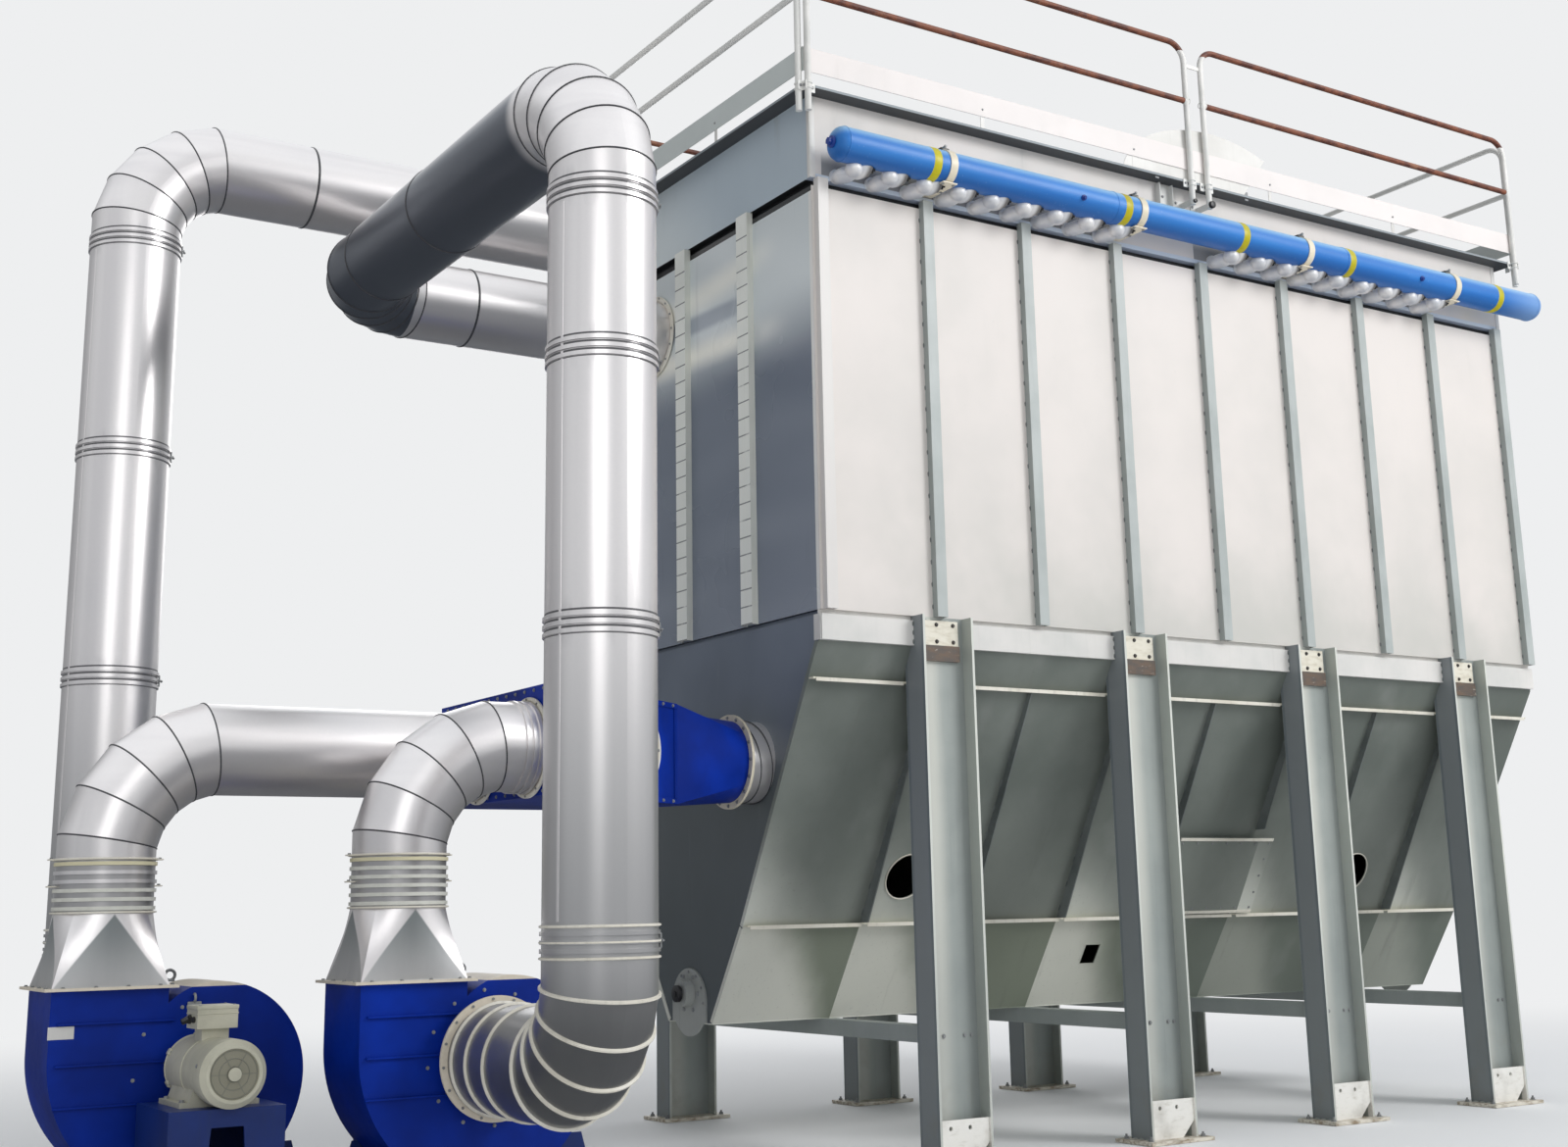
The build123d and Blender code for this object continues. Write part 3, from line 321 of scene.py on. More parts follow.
def hoop(mesh, at, out, radius, wire, steps=48, sides=8, flat=1.0, long=1.0, along=None):
    """Round bar bent into a ring; long stretches it in its own plane along one way."""
    out = Vector(out).normalized()
    start = bmesh.ops.create_circle(
        mesh, cap_ends=False, segments=sides, radius=wire,
        matrix=Matrix.Translation((radius, 0, 0)) @ Matrix.Rotation(math.pi / 2, 4, "X")
        @ Matrix.Diagonal((1.0, flat, 1.0, 1.0)))
    ring = start["verts"] + list({e for v in start["verts"] for e in v.link_edges})
    bmesh.ops.spin(mesh, geom=ring, cent=(0, 0, 0), axis=(0, 0, 1), angle=2 * math.pi,
                   steps=steps, use_merge=True)
    verts = set(start["verts"])
    reach = list(verts)
    while reach:
        here = reach.pop()
        for edge in here.link_edges:
            other = edge.other_vert(here)
            if other not in verts:
                verts.add(other)
                reach.append(other)
    turn = facing(at, out)
    if along is not None:
        turn = laid(at, out, Vector(along)) @ Matrix.Diagonal((long, 1.0, 1.0, 1.0))
    bmesh.ops.transform(mesh, matrix=turn, verts=list(verts))


def bolt(mesh, at, out, size=0.012, washer=True, turn=0.0):
    """Hexagon head on a washer."""
    out = Vector(out).normalized()
    at = Vector(at)
    if washer:
        disc(mesh, at, out, size * 1.15, size * 0.18, segments=12)
    disc(mesh, at + out * size * (0.18 if washer else 0), out, size * 0.9, size * 0.62,
         segments=6, top=size * 0.84, turn=turn)


def stud(mesh, at, size):
    """Anchor nut on a washer with the stud's end."""
    at = Vector(at)
    disc(mesh, at, up, size * 1.3, size * 0.2, segments=16)
    disc(mesh, at + up * size * 0.2, up, size * 0.95, size * 0.8, segments=6)
    disc(mesh, at + up * size, up, size * 0.5, size * 0.9, segments=10, bevel=size * 0.1)


def weld(mesh, at, out, along, length, width=0.012, height=0.005):
    """Short weld run, tapered at both ends."""
    out = Vector(out).normalized()
    along = Vector(along).normalized()
    turn = Matrix((along, out.cross(along), out)).transposed().to_4x4()
    bmesh.ops.create_icosphere(
        mesh, subdivisions=1, radius=1.0,
        matrix=Matrix.Translation(at) @ turn @ Matrix.Diagonal((length / 2, width / 2, height, 1)))


def twins(at, out=(0, 0, 0)):
    """A place on the plant's front and the same place on its back."""
    at, out = Vector(at), Vector(out)
    return ((at, out), (Vector((at.x, 2 * mid_y - at.y, at.z)), Vector((out.x, -out.y, out.z))))


def bolt_ring(mesh, at, out, radius, count, size=0.01, first=0.0, washer=True):
    """Ring of bolts on a flange."""
    flange = facing(at, out)
    for k in range(count):
        angle = first + 2 * math.pi * k / count
        spot = flange @ Vector((radius * math.cos(angle), radius * math.sin(angle), 0))
        bolt(mesh, spot, out, size, washer, turn=k)


def gored_path(points, radii):
    """Corners of a duct's axis with each turn cut into straight gores."""
    points = [Vector(p) for p in points]
    path = [points[0]]
    step = math.radians(90 / gores)
    for here, before, after, radius in zip(points[1:-1], points, points[2:], radii):
        back = (before - here).normalized()
        ahead = (after - here).normalized()
        reach = radius / math.cos(step / 2)
        for k in range(gores):
            turn = step * (k + 0.5)
            path.append(here + (back + ahead) * radius
                        - ahead * reach * math.cos(turn) - back * reach * math.sin(turn))
    path.append(points[-1])
    return path


def gore_rings(mesh, path, corners, radius, wire, flat=1.0):
    """Seam rings on the mitres of a bend."""
    for k in corners:
        ahead = (path[k + 1] - path[k]).normalized()
        behind = (path[k] - path[k - 1]).normalized()
        hoop(mesh, path[k], ahead + behind, radius, wire, steps=56, sides=6, flat=flat,
             long=1 / math.cos(math.radians(45 / gores)), along=ahead - behind)


def spoke(angle):
    """Way out from an axis that runs from front to back, at an angle in degrees."""
    turn = math.radians(angle)
    return Vector((math.cos(turn), 0, math.sin(turn)))


def piece(name, mesh, material):
    """Turns a mesh under work into a finished piece of the plant."""
    bmesh.ops.remove_doubles(mesh, verts=mesh.verts, dist=0.00002)
    bmesh.ops.recalc_face_normals(mesh, faces=mesh.faces)
    data = bpy.data.meshes.new(name)
    mesh.to_mesh(data)
    mesh.free()
    data.polygons.foreach_set("use_smooth", [True] * len(data.polygons))
    data.set_sharp_from_angle(angle=math.radians(35))
    data.materials.append(material)
    made = bpy.data.objects.new(name, data)
    bpy.context.scene.collection.objects.link(made)
    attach(made, "root")


# Paints and metals

def frame_paint(name, colour, dull, scuff, gloss=0.4, amount=1.0):
    """Brushed on paint for sections: streaks along the bar, scuffs and small chips."""
    paint = Finish(name)
    clouds = paint.cloud(2.4, 4.0)
    streaks = paint.cloud(30.0, 3.0, (1.0, 1.0, 0.05))
    chips = paint.cloud(55.0, 4.0, (1.0, 1.0, 0.6), rough=0.7)
    mask = chips.rise(0.66, 0.72) * clouds.rise(0.45, 0.7) * amount
    tint = paint.coats(
        colour,
        (clouds.rise(0.3, 0.75), dull),
        (streaks.rise(0.5, 0.8) * 0.25 * amount, scuff),
        (mask * 0.7, scuff))
    paint.set(Base_Color=tint, Roughness=gloss + mask * 0.3,
              Normal=paint.bump(streaks * 0.4 + mask * -0.4, 0.15, 0.004))
    return paint, tint


def plain_frame(name, *colours, **settings):
    """Brushed on paint with nothing laid over it."""
    return frame_paint(name, *colours, **settings)[0].material


def casing_sheet_paint():
    """Sprayed sheet: soft clouds, run marks from the top and dust towards the bottom."""
    paint = Finish("front_sheet_paint")
    z = paint.axes("z")
    clouds = paint.cloud(0.9, 4.0)
    fine = paint.cloud(26.0, 3.0)
    runs = paint.cloud(5.0, 4.0, (1.0, 1.0, 0.12))
    dents = paint.cloud(1.7, 2.0)
    grime = (190, 191, 184)
    low = z.rise(casing_bottom + (casing_top - casing_bottom) * 0.45, casing_bottom)
    tint = paint.coats(
        (228, 221, 216),
        (clouds.rise(0.35, 0.7), (217, 212, 207)),
        (low * clouds.rise(0.3, 0.72) * 0.6, grime),
        (runs.rise(0.6, 0.82) * z.rise(casing_top - 1.4, casing_top) * 0.35, grime),
        (fine.rise(0.62, 0.8) * 0.12, grime))
    return paint.set(Base_Color=tint, Roughness=0.42 + runs * 0.12,
                     Normal=paint.bump(dents * 0.9 + fine * 0.02, 0.35, 0.02))


def column_finish():
    """Columns in grey green, with painted shade on their sides; the corner ones match the sheets."""
    paint, tint = frame_paint("column_paint", (184, 190, 188), (166, 173, 171),
                              (130, 136, 132), amount=0.6)
    x, y = paint.axes("xy")
    front = abs(y - mid_y).over(mid_y - front_y + column_d - 0.002)
    return paint.set(Base_Color=paint.coats(
        tint,
        # painted shade on the columns' sides
        ((1 - front) * 0.45, (122, 130, 128)),
        (x.under(left_x + 0.1) * 0.85, (228, 223, 219))))


def white_rail_finish():
    """Smooth white tube paint with soft grey clouds."""
    paint = Finish("white_rail_paint")
    clouds = paint.cloud(1.4, 3.0)
    specks = paint.cloud(24.0, 3.0)
    tint = paint.coats(
        (232, 231, 227),
        (clouds.rise(0.35, 0.7), (216, 217, 214)),
        (specks.rise(0.66, 0.78) * 0.2, (176, 174, 166)))
    return paint.set(Base_Color=tint, Roughness=0.36 + specks * 0.1)


def end_sheet_paint():
    """Casing's ends in gloss paint darkened to slate as painted shade, with soft level bands of
    painted reflection, a painted highlight near the top, painted glints with painted shade between
    them, and a painted shadow under the plenum.
    """
    paint = Finish("end_sheet_painted_shade")
    y, z = paint.axes("yz")
    clouds = paint.cloud(0.8, 3.0)
    reflection_bands = paint.cloud(1.1, 2.0, (0.1, 0.15, 1.0), (0, 0, 0.4))
    runs = paint.cloud(9.0, 3.0, (1.0, 1.0, 0.08))
    across = y - mid_y
    # painted reflection: two bright glints across the sheet, with painted shade between them
    lower_glint = abs(z - 4.66 - across * 0.05).rise(0.13, 0.0)
    upper_glint = abs(z - 5.0 + across * 0.07).rise(0.15, 0.0) * 0.8
    glint = lower_glint.both(upper_glint) * clouds.rise(0.3, 0.55)
    between = abs(z - 4.86 - across * 0.04).rise(0.08, 0.03) * y.rise(0.5, 0.9)
    tint = paint.coats(
        # slate base is painted shade; the level bands, the pale top and the glints are painted
        # reflection; the dark top strip is painted shadow under the plenum
        (118, 127, 141),
        (reflection_bands.rise(0.4, 0.65), (140, 148, 160)),
        (z.rise(4.3, 4.85) * 0.9, (226, 233, 234)),
        (glint * y.rise(0.2, 0.8) * 0.95, (255, 254, 244)),
        (between * clouds.rise(0.35, 0.6) * 0.6, (118, 130, 150)),
        (y.under(front_y + 0.035), (236, 236, 232)),
        (z.over(casing_top - 0.03), (26, 28, 30)),
        (runs.rise(0.6, 0.8) * 0.18, (84, 90, 98)))
    return paint.set(Base_Color=tint, Roughness=0.22 + clouds * 0.1,
                     Normal=paint.bump(clouds, 0.2, 0.02))


def end_stiffener_paint():
    """Near white stiffeners, crossed by the dark lines of their stitch welds."""
    paint, tint = frame_paint("end_stiffener_paint", (226, 227, 218), (206, 209, 202),
                              (150, 152, 146))
    x, z = paint.axes("xz")
    stiff_lo, stiff_hi = ends("casing_end_stiffeners")
    outer = x.under(stiff_lo.x + 0.001).both(x.over(stiff_hi.x - 0.001))
    wander = paint.cloud(7.0, 2.0).rise(0.25, 0.45)
    line = (z - casing_bottom).phase(0.1005).under(0.0075) * z.under(casing_top - 0.05)
    return paint.set(Base_Color=paint.coats(
        tint,
        (outer * 0.7, (248, 250, 244)),
        (line * outer * wander * 0.85, (84, 88, 92))))


def end_slate_painted_shade():
    """Hopper's ends in slate as painted shade, darker towards the bottom: soft patches, and dust
    that ran down from the seams.
    """
    paint = Finish("end_slate_painted_shade")
    z = paint.axes("z")
    clouds = paint.cloud(0.9, 3.0)
    runs = paint.cloud(8.0, 4.0, (1.0, 1.0, 0.15))
    tint = paint.coats(
        # the slate base colour is painted shade
        (112, 122, 136),
        (clouds.rise(0.3, 0.7), (94, 104, 118)),
        (z.rise(2.6, 1.9) * 0.7, (74, 80, 74)),
        (runs.rise(0.6, 0.8) * 0.25, (134, 138, 142)))
    return paint.set(Base_Color=tint, Roughness=0.34 + runs * 0.12,
                     Normal=paint.bump(clouds, 0.2, 0.015))


def plenum_paint():
    """Warm pale sheet on the long sides, grey on the ends with painted glare, darker behind the
    valves with painted shadow and dirt, a painted bluish reflection along the front's foot, and
    painted shadow underneath with a bluish painted reflection near the long sides.
    """
    paint = Finish("plenum_sheet_paint")
    x, y, z = paint.axes()
    clouds = paint.cloud(1.1, 4.0)
    runs = paint.cloud(7.0, 4.0, (1.0, 1.0, 0.12))
    end = x.under(left_x - 0.014).both(x.over(right_x + 0.014))
    # painted glare on the ends
    glare = end * (y + (plenum_hi.z - z) * 0.9).rise(1.1, 2.3)
    front = y.under(plenum_lo.y + 0.002)
    valves = x.over(left_x + 0.06) * x.under(right_x - 0.8)
    valves = valves * (1 - abs(x - bare_bay_x).under(0.36))
    # painted shadow of the valves, together with dirt
    valve_shadow_and_dirt = (z - plenum_lo.z).rise(0.17, 0.09) * front * valves
    below = z.under(plenum_lo.z + 0.001)
    long_side = abs(y - mid_y).over(mid_y - front_y - 0.036)
    stain = runs.rise(0.58, 0.8) * z.rise(plenum_hi.z - 0.35, plenum_hi.z)
    tint = paint.coats(
        (226, 219, 214),
        (clouds.rise(0.35, 0.7), (212, 208, 203)),
        (end, paint.mix(clouds, (190, 203, 212), (172, 186, 197))),
        (glare * 0.6, (236, 242, 240)),
        (valve_shadow_and_dirt * 0.75, (104, 108, 112)),
        # painted bluish reflection of the manifold along the front's foot; painted shadow
        # underneath, with a bluish painted reflection near the long sides
        (z.under(plenum_lo.z + 0.028) * front, (206, 216, 228)),
        (below, (34, 36, 38)),
        (below * long_side, (168, 178, 196)),
        (stain * 0.35, (150, 152, 148)))
    return paint.set(Base_Color=tint, Roughness=0.4 + runs * 0.15,
                     Normal=paint.bump(clouds, 0.25, 0.015))


def leg_paint():
    """Leg paint with the cream head plate, the rusty bar below it and the white foot plate; painted
    light and shade across the webs and flanges, and painted shade towards the bottom.
    """
    paint, tint = frame_paint("leg_paint", (166, 172, 168), (150, 157, 154), (118, 124, 120))
    x, y, z = paint.axes()
    y = mid_y - abs(y - mid_y)
    across = (x + 2 * bay * 8 + bay).phase(2 * bay) - bay
    edge = 0.0006
    flange_face = leg_h / 2 - leg_flange
    grain = paint.cloud(40.0, 4.0, (0.3, 1.0, 1.0))
    scratch = paint.cloud(16.0, 5.0, (1.0, 1.0, 5.0), rough=0.75)
    stains = paint.cloud(6.0, 4.0)
    # painted light on the web's left half
    painted_light_web = across.rise(0.03, -0.08) * abs(y).under(leg_b / 2 - 0.02)
    right_flange = across.over(flange_face - 0.001) * across.under(leg_h / 2 - edge)
    front = y.under(-leg_web / 2 - 0.001)
    head = front * abs(across).under(0.1205) * z.over(head_bottom) * z.under(head_top)
    rusty = front * abs(across).under(0.1185) * z.over(rusty_bottom) * z.under(head_bottom)
    foot = abs(across).under(flange_face + 0.0005) * z.under(0.231) * z.over(0.0201)
    foot = foot * y.under(-0.05)
    base = z.under(foot_plate + 0.0003)
    cream_coat = paint.mix(grain.rise(0.4, 0.8), (232, 227, 212), (206, 198, 178))
    rust = paint.coats(
        (92, 84, 78),
        (grain.rise(0.35, 0.7), (112, 92, 76)),
        (scratch.rise(0.6, 0.68), (206, 200, 188)))
    white = paint.mix(grain.rise(0.5, 0.9), (238, 236, 230), (200, 196, 184))
    worn_base = paint.mix(grain.rise(0.4, 0.7), (224, 218, 204), (150, 132, 108))
    return paint.set(Base_Color=paint.coats(
        tint,
        # painted light on the web's left and the right flange's inner face, painted shade on the
        # web's right and the outer faces, painted highlight on the flanges' front edges
        (painted_light_web * 0.75, (216, 216, 207)),
        (across.rise(0.02, 0.12) * 0.4, (118, 124, 122)),
        (right_flange * 0.6, (196, 201, 192)),
        (abs(across).over(leg_h / 2 - edge) * 0.75, (92, 102, 112)),
        (abs(y).over(leg_b / 2 - edge) * 0.85, (224, 226, 218)),
        (head, cream_coat),
        (rusty, rust),
        (foot, white),
        (base, worn_base),
        # painted shade towards the bottom
        (z.rise(1.7, 0.5) * (1 - foot.both(base)) * 0.3, (132, 139, 138)),
        (z.rise(0.7, 0.0) * stains.rise(0.45, 0.75) * 0.35, (126, 120, 104))))


def hopper_paint():
    """Grey slopes darkened as painted shade, lighter towards the knee, with painted light patches
    under the knee and at each bay's lower left, painted shade further right, drips, dust on the lips
    and patches of light dust.
    """
    paint = Finish("hopper_grey_paint")
    x, z = paint.axes("xz")
    clouds = paint.cloud(1.3, 4.0)
    runs = paint.cloud(9.0, 4.0, (1.0, 0.2, 0.15))
    fine = paint.cloud(60.0, 3.0)
    dust_and_light_patches = paint.cloud(2.2, 3.0, (1.0, 1.0, 0.6), (3.0, 0, 0))
    leg_bay = 2 * bay
    phase = (x + 8 * leg_bay).phase(leg_bay) / leg_bay
    phase = phase.math("MINIMUM", (x - left_x) / leg_bay)
    far = x.rise(1.4, 3.0)
    upper, lower = z.over(knee_z), z.under(knee_z)
    # painted light patches below the knee, painted shade further to the right
    trough = (phase - (knee_z - z) * 0.5 + dust_and_light_patches * 0.2).rise(0.42, 0.16)
    shaded = paint.mix(far, (134, 141, 124), (112, 120, 110))
    below_knee = paint.mix(trough * (1 - far * 0.7), shaded, (228, 228, 216))
    # painted glow of light at each bay's lower left
    glow = (phase + (z - knee_z) * 0.5 + dust_and_light_patches * 0.25).rise(0.55, 0.1) * upper
    tint = paint.coats(
        # slope grey kept dark as painted shade
        (124, 130, 124),
        (clouds.rise(0.3, 0.7), (106, 113, 107)),
        (lower * 0.85, below_knee),
        (z.rise(knee_z + 0.9, knee_z) * upper * 0.35, (150, 154, 146)),
        (glow * z.rise(knee_z + 0.8, knee_z) * 0.85, (222, 224, 214)),
        (dust_and_light_patches.rise(0.56, 0.7) * 0.12, (176, 178, 174)),
        (runs.rise(0.58, 0.78) * 0.3, (104, 106, 100)),
        (fine.rise(0.6, 0.75) * 0.15, (90, 90, 86)))
    return paint.set(Base_Color=tint, Roughness=0.42 + runs * 0.15,
                     Normal=paint.bump(clouds + fine * 0.03, 0.3, 0.012))


def stiffener_bar_paint():
    """Ribs in the hopper's grey; lips in cream yellow with worn edges."""
    paint = Finish("hopper_lip_paint")
    z = paint.axes("z")
    clouds = paint.cloud(3.0, 4.0)
    wear = paint.cloud(35.0, 4.0, rough=0.7)
    upper_lip = abs(z - upper_lip_z - 0.004).under(0.006)
    knee_lip = abs(z - knee_z - 0.004).under(0.006)
    grey = paint.mix(clouds.rise(0.3, 0.7), (120, 126, 124), (98, 104, 103))
    pale = paint.mix(clouds.rise(0.3, 0.7), (226, 222, 204), (206, 200, 178))
    tint = paint.coats(
        grey,
        (upper_lip.both(knee_lip), pale),
        (wear.rise(0.6, 0.72) * 0.4, (120, 116, 102)))
    return paint.set(Base_Color=tint, Roughness=0.42 + wear * 0.15,
                     Normal=paint.bump(wear, 0.15, 0.003))


def zinc_streaks(name, bend=None):
    """Zinc coated sheet: streaks along the duct, which turn level above a bend's heights."""
    zinc = Finish(name)
    streak = zinc.cloud(5.0, 3.0, (1.0, 1.0, 0.03))
    if bend:
        turn = zinc.axes("z").rise(*bend)
        level = zinc.cloud(5.0, 3.0, (0.04, 0.15, 1.0))
        streak = streak * (1 - turn) + level * turn
    spangle = zinc.grey("ShaderNodeTexVoronoi", {"feature": "F1"},
                        {"Vector": zinc.place(), "Scale": 90.0}, "Color")
    clouds = zinc.cloud(1.1, 2.0)
    tint = zinc.coats(
        (226, 222, 222),
        (streak.rise(0.36, 0.62), (238, 234, 233)),
        (clouds.rise(0.5, 0.75) * 0.18, (196, 198, 204)),
        (spangle * 0.03, (160, 164, 172)))
    rough = 0.31 + streak.rise(0.65, 0.3) * 0.05
    zinc.set(Base_Color=tint, Metallic=zinc_metal, IOR=1.5, Roughness=rough,
             Normal=zinc.bump(clouds, 0.05, 0.01))
    return zinc, tint, rough


def riser_finish(name, bend, joints, dark_reflection_from=None):
    """Riser: painted shade towards its foot, a painted dark reflection under the cross run when
    asked, and dark lines, partly painted step shadows, with grime at its clamped joints.
    """
    zinc, tint, _ = zinc_streaks(name, bend)
    x, y, z = zinc.axes()
    # painted shade towards the foot
    tint = zinc.coats(tint, (z.rise(2.9, 1.3) * 0.55, (158, 160, 160)),
                      (z.rise(1.2, 0.75) * 0.6, (100, 102, 102)))
    if dark_reflection_from:
        # painted dark reflection on the cross run's underside
        run = y.rise(*dark_reflection_from) * z.over(4.35) * x.under(-2.5)
        underside = z.rise(cross_z + 0.2, cross_z + 0.05)
        tint = zinc.mix(run * underside * 0.88, tint, (70, 80, 94))
    line = soft = 0.0
    for at in joints[1:]:
        rings = abs(abs(z - at) - 0.017).under(0.0045)
        # painted step shadows beside the beads
        rings = rings.both(abs(z - at - 0.0522).under(0.0042))
        line = rings.both(abs(z - at + 0.046).under(0.002)).both(line)
        soft = abs(z - at).rise(0.12, 0.05).both(soft)
    grime = zinc.cloud(14.0, 4.0, (1.0, 1.0, 0.3))
    return zinc.set(
        Base_Color=zinc.coats(tint, (soft * grime.rise(0.45, 0.8) * 0.3, (140, 140, 142)),
                              (line * 0.88, (44, 46, 52))),
        Metallic=zinc_metal - line * 0.6)


def discharge_finish(name, outlet, plain_rings):
    """Discharge: painted shade on the hood's facets, the pale ribs of the collar on top of it, and
    painted shadow between the ribs.
    """
    zinc, tint, rough = zinc_streaks(name, (1.75, 2.0))
    x, y, z = zinc.axes()
    dx, dy = x - outlet[0], y - outlet[1]
    away = (dx * dx + dy * dy).math("SQRT")
    band = z.over(collar_z) * z.under(collar_top)
    collar = discharge_r + 0.0012
    rings = away.over(collar) * band
    if plain_rings:
        rings = rings * (1 - z.over(collar_z + 0.12) * z.under(collar_top - 0.04))
    cloth = zinc.cloud(20.0, 3.0)
    pale = zinc.coats((226, 226, 218), (cloth, (198, 198, 188)),
                      (z.over(collar_top - 0.04) * 0.7, (222, 212, 166)))
    fall = (collar_z - z) / (collar_z - outlet_z)
    fold = (abs(dx) / 0.245).math("MINIMUM", abs(dy) / 0.225)
    facet = (fall - fold).rise(0.0, 0.05) * z.under(collar_z)
    tint = zinc.coats(
        tint,
        (rings, pale),
        # painted shadow between the collar's ribs, painted shade on the hood's facets
        (away.under(collar) * band * 0.5, (112, 114, 116)),
        (facet * (fall.rise(1.0, 0.1) * 0.35 + 0.5), (104, 114, 115)))
    return zinc.set(Base_Color=tint, Metallic=zinc_metal - rings * 0.7 - facet * 0.3,
                    Roughness=rough + rings * 0.2 + facet * 0.1)


def fan_blue(name, inlet=None):
    """Deep blue gloss enamel with orange peel, dust and rubbed edges; cream outlet and inlet."""
    paint = Finish(name)
    y, z = paint.axes("yz")
    peel = paint.cloud(90.0, 2.0)
    clouds = paint.cloud(2.0, 4.0)
    dust = paint.cloud(18.0, 5.0, rough=0.7)
    tint = paint.coats(
        (0, 50, 168),
        (clouds.rise(0.3, 0.7), (0, 36, 128)),
        (dust.rise(0.68, 0.82) * 0.14, (60, 84, 170)),
        (z.rise(0.3, 0.0) * clouds * 0.25, (50, 62, 110)))
    if inlet:
        face, way = inlet
        outside = y.under(face) if way < 0 else y.over(face)
        tint = paint.mix(outside.both(z.over(outlet_z - 0.0125)), tint,
                         paint.mix(dust, (240, 230, 214), (206, 196, 176)))
    return paint.set(Base_Color=tint, Roughness=0.38 + dust * 0.14, Specular_IOR_Level=0.16,
                     Normal=paint.bump(peel * 0.3 + clouds, 0.14, 0.003))


def motor_grey():
    """Cast housing in grey beige, pitted, with a darker disc on its end."""
    paint = Finish("motor_grey_beige")
    casting = paint.cloud(120.0, 4.0, rough=0.7)
    clouds = paint.cloud(6.0, 4.0)
    x, y, z = paint.axes()
    discs = 0.0
    for fan in fans.values():
        dx, dz = x - fan["x"], z - fan_z
        inner = (dx * dx + dz * dz).math("SQRT").under(0.1005)
        motor_end = (fan["back"] + 0.63) if fan["inlet"] < 0 else (fan["front"] - 0.63)
        discs = (inner * abs(y - motor_end).under(0.012)).both(discs)
    tint = paint.coats(
        (200, 197, 178),
        (clouds.rise(0.3, 0.7), (180, 178, 160)),
        (casting.rise(0.6, 0.75) * 0.25, (104, 102, 88)),
        (discs * 0.8, (122, 119, 102)))
    return paint.set(Base_Color=tint, Roughness=0.45 + casting * 0.15,
                     Normal=paint.bump(casting, 0.2, 0.002))


def manifold_blue():
    """Light blue tube: painted highlight on top, painted shade below, paler at its right end, chalky
    streaks along it.
    """
    paint = Finish("manifold_light_blue")
    x, z = paint.axes("xz")
    streak = paint.cloud(9.0, 4.0, (0.06, 1.0, 1.0))
    fine = paint.cloud(60.0, 4.0, rough=0.7)
    tint = paint.coats(
        (30, 112, 194),
        (streak.rise(0.35, 0.7), (44, 128, 208)),
        # painted highlight on top, painted shade below
        (z.rise(manifold_z + 0.02, manifold_z + 0.085) * 0.75, (164, 212, 244)),
        (z.rise(manifold_z - 0.02, manifold_z - 0.09) * 0.5, (14, 66, 138)),
        (x.rise(right_x - 0.4, right_x + 0.15) * 0.5, (150, 186, 228)),
        (fine.rise(0.62, 0.75) * 0.35, (170, 196, 226)))
    return paint.set(Base_Color=tint, Roughness=0.34 + fine * 0.15,
                     Normal=paint.bump(fine * 0.4 + streak, 0.12, 0.003))


def cast_valve():
    """Cast light alloy with sand texture, painted bluish shade below and a painted shadow at each
    valve's right end.
    """
    metal = Finish("valve_cast_alloy")
    x, z = metal.axes("xz")
    sand = metal.cloud(150.0, 4.0, rough=0.7)
    clouds = metal.cloud(9.0, 3.0)
    along = (x - column_x[0]).phase(valve_pitch) / valve_pitch
    tint = metal.coats(
        (240, 238, 237),
        (clouds.rise(0.3, 0.7), (214, 216, 221)),
        (sand.rise(0.6, 0.75) * 0.2, (140, 140, 138)),
        # painted bluish shade below, painted shadow at each valve's right end
        (z.rise(plenum_lo.z + 0.004, plenum_lo.z - 0.03) * 0.7, (124, 134, 154)),
        (along.rise(0.7, 0.84) * (1 - along.rise(0.97, 1.0)) * 0.85, (70, 64, 60)))
    return metal.set(Base_Color=tint, Metallic=0.2, Roughness=0.34 + sand * 0.14,
                     Normal=metal.bump(sand, 0.25, 0.002))


def front_rail_paint():
    """White posts; the two level rails rusted brown with orange and pale patches."""
    paint = Finish("front_rail_paint")
    x, z = paint.axes("xz")
    clouds = paint.cloud(3.2, 4.0)
    flakes = paint.cloud(22.0, 5.0, (0.5, 1.0, 1.0), rough=0.7)
    white = paint.mix(clouds.rise(0.35, 0.7), (236, 234, 230), (210, 210, 206))
    rust = paint.coats(
        (92, 50, 40),
        (flakes.rise(0.4, 0.6), (132, 76, 52)),
        (clouds.rise(0.6, 0.74) * 0.5, (176, 128, 96)))
    posts = 0.0
    for at in front_post_x:
        posts = abs(x - at).under(rail_r + 0.003).both(posts)
    knee = abs(z - knee_rail_z).under(rail_r + 0.001) * (1 - posts)
    tint = paint.mix(z.over(top_rail_z - 0.05).both(knee), white, rust)
    return paint.set(Base_Color=tint, Roughness=0.42 + flakes * 0.25,
                     Normal=paint.bump(flakes, 0.2, 0.002))


